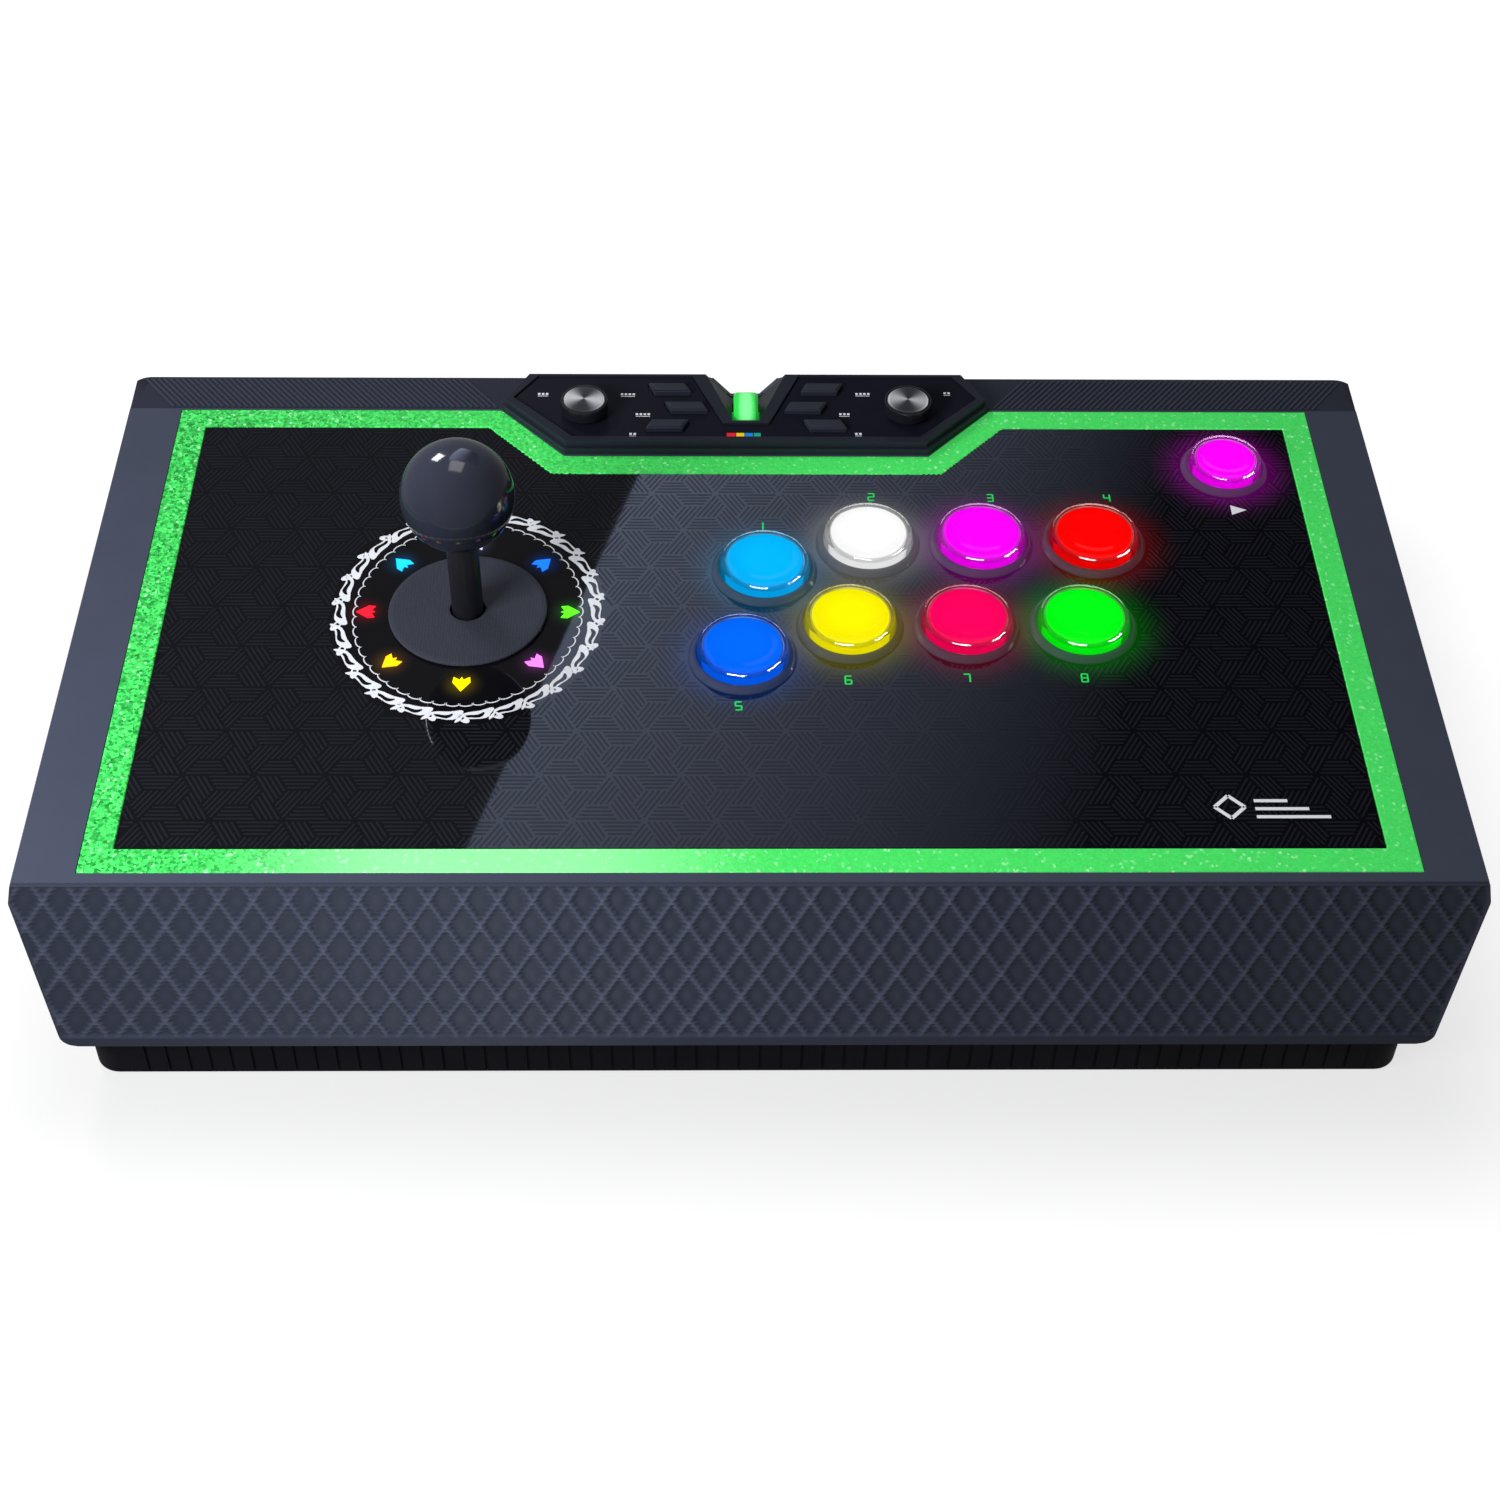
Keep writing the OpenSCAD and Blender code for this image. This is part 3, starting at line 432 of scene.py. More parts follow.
lampNames = {"1": "cyan", "2": "white", "3": "magenta", "4": "red", "5": "blue", "6": "yellow",
             "7": "crimson", "8": "green", "start": "magenta"}
arrowColours = [(80, 235, 30), (20, 110, 255), (190, 200, 255), (20, 175, 255),
                (255, 20, 40), (255, 180, 10), (255, 225, 0), (240, 110, 240)]

# camera, floor and light

studio = {"softWorld": 0.25, "glossWorld": 0.32, "floorNear": 0.73, "floorFar": 0.98,
          "floorFade": 0.085, "sheen": 6.9, "sheenStart": -0.45, "sheenEnd": 0.08,
          "sheenTilt": -0.28, "sheenColour": (0.61, 0.71, 1, 1), "cardHeight": 1.2,
          "cardCorners": ((0.043, 1.822), (-0.325, 0.505), (0.75, 0.505), (0.9, 1.822))}
view = {"lens": 59.76, "place": (-13.300, -580.544, 642.112), "pitch": 46.4734, "yaw": 1.4281,
        "roll": 1.0430}


def makeCamera():
    pitch, yaw, roll = (math.radians(view[k]) for k in ("pitch", "yaw", "roll"))
    ahead = Vector((math.sin(yaw) * math.cos(pitch), math.cos(yaw) * math.cos(pitch),
                    -math.sin(pitch)))
    right = Vector((math.cos(yaw), -math.sin(yaw), 0))
    up = right.cross(ahead)
    sideways = right * math.cos(roll) + up * math.sin(roll)
    upwards = up * math.cos(roll) - right * math.sin(roll)
    camera = linked("camera", bpy.data.cameras.new("camera"))
    camera.data.lens = view["lens"]
    camera.data.sensor_width = 36
    camera.data.clip_start, camera.data.clip_end = 0.01, 50
    turn = Matrix((sideways, upwards, -ahead)).transposed().to_4x4()
    camera.matrix_world = Matrix.Translation(Vector(view["place"]) * mm) @ turn
    bpy.context.scene.camera = camera


def sheet(name, corners, material, unseenBy):
    mesh = bpy.data.meshes.new(name)
    mesh.from_pydata(corners, [], [(0, 1, 2, 3)])
    mesh.materials.append(material)
    made = linked(name, mesh)
    for ray in unseenBy:
        setattr(made, "visible_" + ray, False)
    return made


def makeFloor():
    made, tree, shader = newMaterial("studio_floor")
    shader.inputs["Base Color"].default_value = (0.1, 0.1, 0.102, 1)
    shader.inputs["Specular IOR Level"].default_value = 1.0
    feed(tree, shader.inputs["Roughness"], remap(tree, noise(tree, 3), 0.3, 0.7, 0.14, 0.2))
    # a painted soft shadow gathers round the footprint
    axes = axesOf(tree)
    high = span("base_tray")[1]
    reach = []
    for axis, edge in (("X", high.x), ("Y", high.y)):
        past = mathNode(tree, "SUBTRACT", mathNode(tree, "ABSOLUTE", axes[axis]), edge * mm)
        reach.append(mathNode(tree, "POWER", mathNode(tree, "MAXIMUM", past, 0), 2))
    away = mathNode(tree, "SQRT", mathNode(tree, "ADD", *reach))
    shade = remap(tree, away, 0, studio["floorFade"], studio["floorNear"], studio["floorFar"],
                  "SMOOTHSTEP")
    litBy(tree, shader, combined(tree, X=shade, Y=shade, Z=shade), 1.0)
    floor = sheet("studio_floor", [(-9, -9, 0), (9, -9, 0), (9, 9, 0), (-9, 9, 0)], made,
                  ("diffuse", "glossy", "shadow"))


def areaLight(name, place, target, size, power, colour, mirrored=False, only=None):
    data = bpy.data.lights.new(name, "AREA")
    data.energy, data.color = power, colour
    data.shape = "RECTANGLE"
    data.size, data.size_y = size if isinstance(size, tuple) else (size, size)
    lamp = linked(name, data)
    lamp.location = place
    lamp.visible_glossy = mirrored
    lamp.visible_camera = False
    lamp.visible_transmission = False
    lamp.rotation_euler = (Vector(target) - Vector(place)).to_track_quat("-Z", "Y").to_euler()
    if only:
        lamp.light_linking.receiver_collection = only


sheenPieces = bpy.data.collections.new("sheen_pieces")  # only these mirror the card
capPieces = bpy.data.collections.new("cap_pieces")  # only these catch the cap glints
ballPieces = bpy.data.collections.new("ball_pieces")  # the ball's own highlights
coverPieces = bpy.data.collections.new("cover_pieces")  # only this catches the low wash


def makeSheenCard():
    made, tree = newMaterial("sheen_card")[:2]
    tree.nodes.clear()
    axes = axesOf(tree)
    across = mathNode(tree, "MULTIPLY_ADD", axes["Y"], studio["sheenTilt"], axes["X"])
    fade = remap(tree, across, studio["sheenStart"], studio["sheenEnd"], 1, 0)
    glow = addNode(tree, "ShaderNodeEmission")
    glow.inputs["Color"].default_value = studio["sheenColour"]
    feed(tree, glow.inputs["Strength"], mathNode(tree, "MULTIPLY", fade, studio["sheen"]))
    output = addNode(tree, "ShaderNodeOutputMaterial")
    tree.links.new(glow.outputs[0], output.inputs["Surface"])
    corners = [(*corner, studio["cardHeight"]) for corner in studio["cardCorners"]]
    card = sheet("sheen_card", corners, made, ("camera", "diffuse", "shadow", "transmission"))
    card.light_linking.receiver_collection = sheenPieces


def makeWorld():
    world = bpy.data.worlds.new("studio")
    bpy.context.scene.world = world
    world.use_nodes = True
    tree = world.node_tree
    backdrop = tree.nodes["Background"]
    backdrop.inputs["Color"].default_value = (1, 1, 1, 1)
    ray = addNode(tree, "ShaderNodeLightPath")
    soft = remap(tree, ray.outputs["Is Diffuse Ray"], 0, 1, studio["glossWorld"],
                 studio["softWorld"])
    feed(tree, backdrop.inputs["Strength"],
         remap(tree, ray.outputs["Is Camera Ray"], 0, 1, soft, 1.05))
    bpy.context.scene.view_settings.view_transform = "Standard"


makeCamera()
makeFloor()
makeSheenCard()
makeWorld()
cool, white = (0.97, 0.98, 1), (1, 1, 1)
windowSide = (-0.62, 0.69, 0.96)
ballMiddle = (leverX * mm, leverY * mm, 0.145)
buttonMiddle = (0.07, 0.02, 0.1)
lights = {  # place, target, size, power, colour, seen in reflections, only for
    "key": ((-0.46, -0.38, 0.42), (-0.16, -0.08, 0.09), 0.3, 6.4, cool),
    "fill": (windowSide, (-0.1, 0, 0.1), 0.3, 5.0, cool),
    "front_wash": ((-0.095, -0.35, 0.16), (-0.085, -0.117, 0.06), 0.1, 1.7, cool, False,
                   coverPieces),
    "cover_wash": ((-0.112, -0.235, -0.075), (-0.095, -0.112, 0.07), 0.12, 0.045, cool, True,
                   coverPieces),
    "ball_spot": (windowSide, ballMiddle, 0.3, 11.0, white, True, ballPieces),
    "ball_window": ((-0.055, 0.18, 1.13), ballMiddle, 0.42, 3.6, white, True, ballPieces),
    "cap_glint_front": ((-0.34, -1.38, 0.42), buttonMiddle, 1.1, 260, white, True, capPieces),
    "cap_glint_right": ((1.5, -0.4, 0.3), buttonMiddle, 1.0, 220, white, True, capPieces),
    "cap_edge": ((0.1, 2.0, 0.55), buttonMiddle, (2.4, 0.5), 22, cool, True, capPieces)}
for name, entry in lights.items():
    areaLight(name, *entry)
print("camera, floor and light made")

# finishes

# name, colour, roughness, grain scale and depth, colour spread, specular, metal, extras
plainFinishes = {
    "case": ("case_slate", (59, 64, 79), 0.46, 2400, 0.05, 0.08, 0.2, 0),
    "trim": ("trim_slate", (40, 43, 55), 0.5, 2400, 0.05, 0.12, 0.2, 0),
    "trimRib": ("trim_rib", (52, 56, 69), 0.46, 2400, 0.05, 0.12, 0.2, 0),
    "base": ("plinth_black", (13, 13, 19), 0.55, 1500, 0.08, 0.12, 0.07, 0),
    "foot": ("foot_rubber", (24, 24, 26), 0.85, 1200, 0.12, 0.12, 0.3, 0),
    "screw": ("screw_steel", (150, 152, 156), 0.3, 900, 0.02, 0.12, 0.5, 1),
    "plate": ("plate_steel", (120, 122, 128), 0.42, 700, 0.03, 0.12, 0.5, 1),
    "board": ("board_green", (16, 74, 40), 0.4, 1400, 0.05, 0.2, 0.5, 0),
    "connector": ("connector_steel", (178, 180, 184), 0.25, 900, 0.02, 0.12, 0.5, 1),
    "module": ("module_slate", (32, 35, 45), 0.4, 2600, 0.05, 0.08, 0.25, 0),
    "fascia": ("fascia_black", (22, 23, 33), 0.22, 2600, 0.02, 0.15, 0.1, 0, {"patches": 0.04}),
    "key": ("key_slate", (40, 43, 55), 0.34, 2600, 0.05, 0.08, 0.4, 0),
    "knobSide": ("knob_black", (22, 22, 28), 0.16, 1800, 0.02, 0.2, 0.5, 0, {"patches": 0.04}),
    "shaft": ("shaft_steel", (190, 192, 196), 0.16, 1200, 0.015, 0.12, 0.5, 1),
    "sleeve": ("sleeve_black", (20, 20, 26), 0.38, 1600, 0.04, 0.15, 0.5, 0),
    "gimbal": ("gimbal_plastic", (40, 42, 48), 0.5, 1600, 0.05, 0.12, 0.5, 0),
    "actuator": ("actuator_red", (188, 28, 30), 0.42, 1600, 0.04, 0.12, 0.5, 0),
    "spring": ("spring_steel", (170, 172, 176), 0.25, 1000, 0.02, 0.12, 0.5, 1),
    "housing": ("housing_black", (28, 28, 32), 0.5, 1600, 0.05, 0.12, 0.5, 0),
    "gate": ("gate_blue", (30, 84, 160), 0.4, 1600, 0.04, 0.12, 0.5, 0),
    "switchRed": ("switch_red", (176, 30, 32), 0.45, 1600, 0.04, 0.12, 0.5, 0),
    "switchGrey": ("switch_grey", (108, 110, 116), 0.5, 1600, 0.04, 0.12, 0.5, 0),
    "nut": ("nut_black", (26, 26, 29), 0.55, 1500, 0.05, 0.12, 0.5, 0),
    "white": ("print_white", (228, 230, 234), 0.4, 1500, 0.01, 0.05, 0.5, 0),
    # the green print carries a painted glow
    "greenInkWithPaintedGlow": ("print_green", (20, 190, 80), 0.4, 1500, 0.01, 0.06, 0.5, 0,
                 {"Emission_Color": (*tone(20, 220, 90), 1), "Emission_Strength": 0.35}),
    "rope": ("print_rope", (214, 216, 222), 0.42, 1500, 0.02, 0.18, 0.5, 0,
             {"patchScale": 400})}
finishes = {}
for key, (name, rgb, rough, scale, depth, spread, shine, metal, *extras) in plainFinishes.items():
    finishes[key] = finish(name, tone(*rgb), rough, (scale, depth), spread,
                           Specular_IOR_Level=shine, Metallic=metal, **dict(*extras))

# the glitter frame carries painted light: painted side shade in its grains, a painted pale patch
# of light near the front left, painted glints and a painted glow
glitter = {"flakes": 1150, "paintedSideShadeFrom": -0.19, "paintedSideShadeTo": 0.02, "paintedLightCentre": (-0.075, -0.105, 0.097),
           "paintedLightNear": 0.02, "paintedLightFar": 0.088, "paintedLightShare": 0.6, "glow": 0.13}


def glitterFinish():
    made = finish("frame_glitter", tone(70, 214, 100), 0.36, (2200, 0.05), 0.05,
                  Specular_IOR_Level=0.35)
    tree, shader = opened(made)
    split = addNode(tree, "ShaderNodeSeparateColor")
    tree.links.new(cells(tree, glitter["flakes"])["Color"], split.inputs["Color"])
    red, green, blue = (split.outputs[k] for k in ("Red", "Green", "Blue"))
    # painted side shade: the darker grains grow stronger towards the left
    paintedSideShade = remap(tree, axesOf(tree)["X"], glitter["paintedSideShadeFrom"], glitter["paintedSideShadeTo"], 1, 0.15)
    body = mixColour(tree, mathNode(tree, "MULTIPLY", red, paintedSideShade), tone(72, 224, 100),
                     tone(18, 116, 42))
    # a painted pale patch of light near the front left corner
    away = vectorNode(tree, "DISTANCE", objectPlace(tree), glitter["paintedLightCentre"])
    paintedLightPatch = remap(tree, away, glitter["paintedLightNear"], glitter["paintedLightFar"], glitter["paintedLightShare"], 0,
                   "SMOOTHSTEP")
    body = mixColour(tree, paintedLightPatch, body, tone(160, 255, 172))
    # the brightest flakes are painted glints
    paintedGlints = remap(tree, green, 0.93, 1, 0, 0.55)
    body = mixColour(tree, paintedGlints, body, tone(190, 255, 200))
    feed(tree, shader.inputs["Base Color"], body)
    feed(tree, shader.inputs["Roughness"], remap(tree, blue, 0, 1, 0.2, 0.5))
    # painted glow: the frame emits its own colour
    litBy(tree, shader, body, glitter["glow"])
    reBump(tree, 0.12, 0.5, red)
    return made


# painted glow: how far the lit caps and arrows seem to glow on the panel, and how fast that
# painted light fades
paintedHalo = {"reach": 17, "fade": 2.6, "arrowRing": 32.5, "arrowReach": 8.5, "arrowGlow": 0.32,
        "glow": 0.5}


# adds up painted pools of coloured light round the given spots
def glowSum(tree, spots):
    flat = vectorNode(tree, "MULTIPLY", objectPlace(tree), (1, 1, 0))
    total = None
    for x, y, reach, strength, colour in spots:
        away = vectorNode(tree, "DISTANCE", flat, (x * mm, y * mm, 0))
        near = mathNode(tree, "POWER", remap(tree, away, 0, reach * mm, 1, 0), paintedHalo["fade"])
        dab = vectorNode(tree, "SCALE", colour, mathNode(tree, "MULTIPLY", near, strength))
        total = dab if total is None else vectorNode(tree, "ADD", total, dab)
    return total


def panelFinish(name, colour, rough, glow, shine):
    made = finish(name, colour, rough, (600, 0.0006), 0.15, 0.006, Specular_IOR_Level=shine)
    tree, shader = opened(made)
    spots = [(x, y, radius + paintedHalo["reach"], glow, tone(*lightColours[label]))
             for label, (x, y, radius) in buttonSpots.items()]
    for k, colour in enumerate(arrowColours):
        angle = math.pi / 4 * k
        spots.append((leverX + paintedHalo["arrowRing"] * math.cos(angle),
                      leverY + paintedHalo["arrowRing"] * math.sin(angle), paintedHalo["arrowReach"],
                      paintedHalo["arrowGlow"] * glow, tone(*colour)))
    # painted glow round each cap and arrow, emitted by the panel itself
    litBy(tree, shader, glowSum(tree, spots), paintedHalo["glow"])
    return made


def lampFinish(label, rgb):
    colour = tone(*rgb)
    made = finish("lamp_" + label, tuple(0.04 * c for c in colour), 0.3, (900, 0.02), 0.05,
                  Specular_IOR_Level=0.05)
    tree, shader = opened(made)
    x, y, radius = buttonSpots[label]
    flat = vectorNode(tree, "MULTIPLY", objectPlace(tree), (1, 1, 0))
    away = vectorNode(tree, "DISTANCE", flat, (x * mm, y * mm, 0))
    height = axesOf(tree)["Z"]
    top = span("lamp_" + label)[1].z
    # the crown and the skirt shine, with a dim line between them
    crown = remap(tree, height, (top - 1.0) * mm, (top - 0.25) * mm, 0.5, 1)
    skirt = remap(tree, height, (top - 2.0) * mm, (top - 1.2) * mm, 0.78, 0)
    inner = remap(tree, away, radius * 0.4 * mm, radius * 0.84 * mm, 1.0, 0.86)
    inner = mathNode(tree, "MULTIPLY", inner, mathNode(tree, "MAXIMUM", crown, skirt))
    rippled = mathNode(tree, "MULTIPLY", inner, remap(tree, noise(tree, 160), 0, 1, 0.97, 1.03))
    litBy(tree, shader, vectorNode(tree, "SCALE", colour, rippled), 1.0)
    return made


def arrowFinish(k, rgb):
    return finish(f"arrow_{k}", tone(*rgb), 0.3, (900, 0.02), 0.05, Specular_IOR_Level=0.2,
                  Emission_Color=(*tone(*rgb), 1), Emission_Strength=0.95)


# the clear caps carry a faint painted glow in their lamp's colour
def clearFinish(label, rgb):
    pale = tuple(0.6 + 0.4 * c for c in tone(*rgb))
    return finish("clear_" + label, pale, 0.04, (500, 0.0005), 0.02, 0.01,
                  Transmission_Weight=1.0, IOR=1.3, Specular_IOR_Level=0.5,
                  Emission_Color=(*tone(*rgb), 1), Emission_Strength=0.045)


finishes["glitter"] = glitterFinish()
# the panel, its pattern and the button rims all carry this painted glow
finishes["panel"] = panelFinish("panel_gloss", tone(12, 12, 16), 0.02, 1.0, 0.12)
finishes["pattern"] = panelFinish("panel_pattern", tone(27, 28, 35), 0.05, 1.3, 0.05)
finishes["rim"] = panelFinish("rim_smoke", tone(46, 48, 58), 0.12, 0.75, 0.3)
print("finishes mixed:", len(bpy.data.materials))

# case

cover = {"pitchX": 10.0, "pitchZ": 22.5, "depth": 1.2, "step": 0.6, "plainBelow": 4.5,
         "tooth": 2.1, "sides": 0.9, "lift": 1.8, "setBack": 1.3, "flare": 0.95,
         "flareMiddle": -13.3, "ridgeWide": 0.2, "ridgeTeeth": 0.1, "pillow": 1.2,
         "crossing": 0.24, "lipDepth": 1.6, "back": 3}


def coverFinish():
    made = finish("cover_quilt_painted_light", tone(38, 41, 52), 0.44, (2400, 0.05), 0.08,
                  Specular_IOR_Level=0.16)
    tree, shader = opened(made)
    axes = axesOf(tree)
    # painted light and shade: raised ridges are coloured lighter and sunken pillows darker by
    # their depth
    height = remap(tree, axes["Y"], (frontY + cover["depth"]) * mm, frontY * mm, 0, 1)
    quilted = addNode(tree, "ShaderNodeAttribute", attribute_name="quilt")
    share = mathNode(tree, "MULTIPLY", mathNode(tree, "POWER", height, 1.5),
                     quilted.outputs["Fac"])
    top = (span("front_cover")[1].z + cover["lift"]) * mm
    # a painted highlight line along the quilt's top edge
    rim = remap(tree, axes["Z"], top - 0.5 * mm, top - 0.1 * mm, 0, 1)
    share = mathNode(tree, "MAXIMUM", share, rim)
    feed(tree, shader.inputs["Base Color"],
         mixColour(tree, share, tone(22, 25, 34), tone(44, 47, 59)))
    return made


def quiltTree(material):
    labels = ("Pitch X", "Pitch Z", "Depth", "Tooth", "Flare", "Flare Middle", "Top")
    tree, source, output = newTree("quilt_tree",
                                   [(label, "NodeSocketFloat", 0.01) for label in labels])
    given = source.outputs
    where = addNode(tree, "GeometryNodeInputPosition")
    axes = axesOf(tree, where.outputs[0])
    # the columns spread a little towards the lower edge
    drop = mathNode(tree, "SUBTRACT", given["Top"], axes["Z"])
    spread = mathNode(tree, "SUBTRACT", 1, mathNode(tree, "MULTIPLY", drop, given["Flare"]))
    across = mathNode(tree, "SUBTRACT", axes["X"], given["Flare Middle"])
    across = mathNode(tree, "DIVIDE", mathNode(tree, "MULTIPLY", across, spread),
                      given["Pitch X"])
    along = mathNode(tree, "DIVIDE", axes["Z"], given["Pitch Z"])
    teeth = mathNode(tree, "SINE", mathNode(
        tree, "MULTIPLY", mathNode(tree, "DIVIDE", axes["Z"], given["Tooth"]), 2 * math.pi))
    rises, gaps = [], []
    for sign in (1, -1):
        slant = mathNode(tree, "ADD", across, mathNode(tree, "MULTIPLY", along, sign))
        gaps.append(mathNode(tree, "PINGPONG", slant, 0.5))
        wide = mathNode(tree, "MULTIPLY_ADD", teeth, cover["ridgeTeeth"], cover["ridgeWide"])
        rises.append(remap(tree, gaps[-1], 0, wide, 1, 0, "SMOOTHSTEP"))
    # ridges stand highest where two of them cross
    crossing = cover["crossing"]
    ridge = mathNode(tree, "ADD",
                     mathNode(tree, "MULTIPLY", mathNode(tree, "MAXIMUM", *rises), 1 - crossing),
                     mathNode(tree, "MULTIPLY", mathNode(tree, "MINIMUM", *rises), crossing))
    pillow = mathNode(tree, "MULTIPLY", mathNode(tree, "MULTIPLY", *gaps), cover["pillow"])
    fall = mathNode(tree, "SUBTRACT", 1, mathNode(tree, "MAXIMUM", ridge, pillow))
    fall = mathNode(tree, "MULTIPLY", fall, given["Depth"])
    fall = mathNode(tree, "MULTIPLY", fall, namedFloat(tree, "quilt"))
    move = addNode(tree, "GeometryNodeSetPosition")
    feed(tree, move.inputs["Geometry"], given["Geometry"])
    feed(tree, move.inputs["Offset"], combined(tree, Y=fall))
    finishTree(tree, move.outputs["Geometry"], output, material)
    return tree


def makeCover():
    low, high = span("front_cover")
    high.z += cover["lift"]
    rims = {}
    for v in nodes["front_cover"].data.vertices:
        if v.co.y / mm < frontY + 0.5:
            level = round(v.co.z / mm, 2)
            rims[level] = max(rims.get(level, 0), v.co.x / mm)
    levels = sorted(rims)

    def halfWidth(z):
        for a, b in zip(levels, levels[1:]):
            if a <= z <= b:
                return rims[a] + (rims[b] - rims[a]) * (z - a) / max(b - a, 1e-6)
        slope = (rims[levels[-1]] - rims[levels[-2]]) / (levels[-1] - levels[-2])
        return rims[levels[-1]] + slope * (z - levels[-1])

    rows = int((high.z - low.z) / cover["step"])
    columns = int(2 * high.x / cover["step"])
    wide = columns + 1
    verts, weights = [], []
    for r in range(rows + 1):
        z = low.z + (high.z - low.z) * r / rows
        edge = halfWidth(z)
        for c in range(wide):
            x = (2 * c / columns - 1) * edge
            inward = min((edge - abs(x)) / cover["sides"], (high.z - z) / 0.9,
                         (z - low.z - cover["plainBelow"]) / 1.6 + 0.5)
            weights.append(min(1, max(0, inward)))
            verts.append((x, frontY, z))
    faces = [[r * wide + c, r * wide + c + 1, (r + 1) * wide + c + 1, (r + 1) * wide + c]
             for r in range(rows) for c in range(columns)]
    ring = list(range(wide)) + [r * wide + columns for r in range(1, rows + 1)]
    ring += [rows * wide + c for c in range(columns - 1, -1, -1)]
    ring += [r * wide for r in range(rows - 1, 0, -1)]
    start, count = len(verts), len(ring)
    verts += [(verts[k][0], frontY + cover["back"], verts[k][2]) for k in ring]
    weights += [0] * count
    faces += [[ring[(k + 1) % count], ring[k], start + k, start + (k + 1) % count]
              for k in range(count)]
    faces.append([start + k for k in range(count)])
    base = meshOf("front_quilt", verts, faces)
    base.attributes.new("quilt", "FLOAT", "POINT").data.foreach_set("value", weights)
    values = {label: cover[key] * mm for label, key in
              (("Pitch X", "pitchX"), ("Pitch Z", "pitchZ"), ("Depth", "depth"),
               ("Tooth", "tooth"), ("Flare Middle", "flareMiddle"))}
    values.update({"Flare": cover["flare"], "Top": high.z * mm})
    coverPieces.objects.link(grown("front_quilt", base, quiltTree(coverFinish()), values, "root",
                                   ["front_cover"], 50))


def outerEdge(edge):
    spot = (edge.verts[0].co + edge.verts[1].co) / 2 / mm
    return (abs(spot.x) > 205 or spot.y > rearY - 9 or spot.y < frontY + 0.4
            or spot.z > deckTop - 0.1)


def makeHousing():
    piece = softened("case_housing", "case_shell", 0.7, finishes["case"],
                     keep=outerEdge)
    for corner in piece.data.vertices:
        if corner.co.y < (frontY + cover["lipDepth"]) * mm:  # the lip behind the quilt's top
            corner.co.y += cover["setBack"] * mm


trimRibs = {"pitch": 2.1, "wide": 0.8, "slant": 52, "edge": 1.2, "first": 88.0, "inner": 86.0,
            "outer": 2.5, "proud": 0.3, "sink": 0.28}


def makeTrimRibs():
    low, high = span("rear_trims")
    rows = []
    lean = math.radians(trimRibs["slant"])
    depth = high.y - low.y - 2 * trimRibs["edge"]
    run, shift = depth / math.sin(lean), depth / math.tan(lean) / 2
    for side in (-1, 1):
        x = trimRibs["first"]
        while x < high.x - 4:
            if x - shift > trimRibs["inner"] and x + shift < high.x - trimRibs["outer"]:
                rows.append((side * x, (low.y + high.y) / 2, side * lean, run, trimRibs["wide"]))
            x += trimRibs["pitch"]
    strokes("trim_ribs", rows, high.z - trimRibs["proud"], high.z, finishes["trimRib"])


def makeTrims():
    work = merged("rear_trims")
    top = span("rear_trims")[1].z
    for v in work.verts:
        if v.co.z > (top - 0.1) * mm:
            v.co.z -= trimRibs["sink"] * mm
    settle(linked("trim_strips", meshFrom(work, "trim_strips")), finishes["trim"], "root",
           ["rear_trims"], 30)


plinthRibs = {"pitch": 6.6, "wide": 5.6, "proud": 0.5, "cornerGap": 12, "root": 0.1,
              "above": 1.5, "below": 0.4, "socketGap": 9}


def makePlinthRibs():
    low, high = span("base_tray")
    gap, step, root = (plinthRibs[k] for k in ("cornerGap", "pitch", "root"))
    size = (plinthRibs["wide"], plinthRibs["proud"] + root)
    out = (plinthRibs["proud"] - root) / 2
    rows = []
    for side in (-1, 1):
        count = int((high.x - gap) / step)
        rows += [(k * step, side * (high.y + out), 0, *size) for k in range(-count, count + 1)]
        count = int((high.y - gap) / step)
        rows += [(side * (high.x + out), k * step, math.pi / 2, *size)
                 for k in range(-count, count + 1)]
    rows = [r for r in rows if r[1] < 100 or abs(r[0]) >= plinthRibs["socketGap"]]
    strokes("plinth_ribs", rows, low.z + plinthRibs["above"], high.z - plinthRibs["below"],
            finishes["base"])


makeHousing()
makeCover()
makeTrims()
makeTrimRibs()
softened("plinth", "base_tray", 0.5, finishes["base"])
makePlinthRibs()
softened("foot_pads", "feet", 0.5, finishes["foot"])
softened("glitter_frame", "green_frame", 0.35, finishes["glitter"])
print("case made")

# panel and its prints

pattern = {"side": 21.2, "lines": 4, "pitch": 1.5, "wide": 0.62, "gap": 0.55,
           "leverClear": 49.6, "buttonClear": 3.6, "proud": 0.045, "notchBack": (80.0, 89.35),
           "notchTip": (58.0, 65.2), "steps": 8, "rows": 8, "columns": 14}


def panelOutline():
    low, high = span("art_panel")
    (backX, backY), (tipX, tipY) = pattern["notchBack"], pattern["notchTip"]
    return [(low.x, low.y), (high.x, low.y), (high.x, backY), (backX, backY), (tipX, tipY),
            (-tipX, tipY), (-backX, backY), (low.x, backY)]


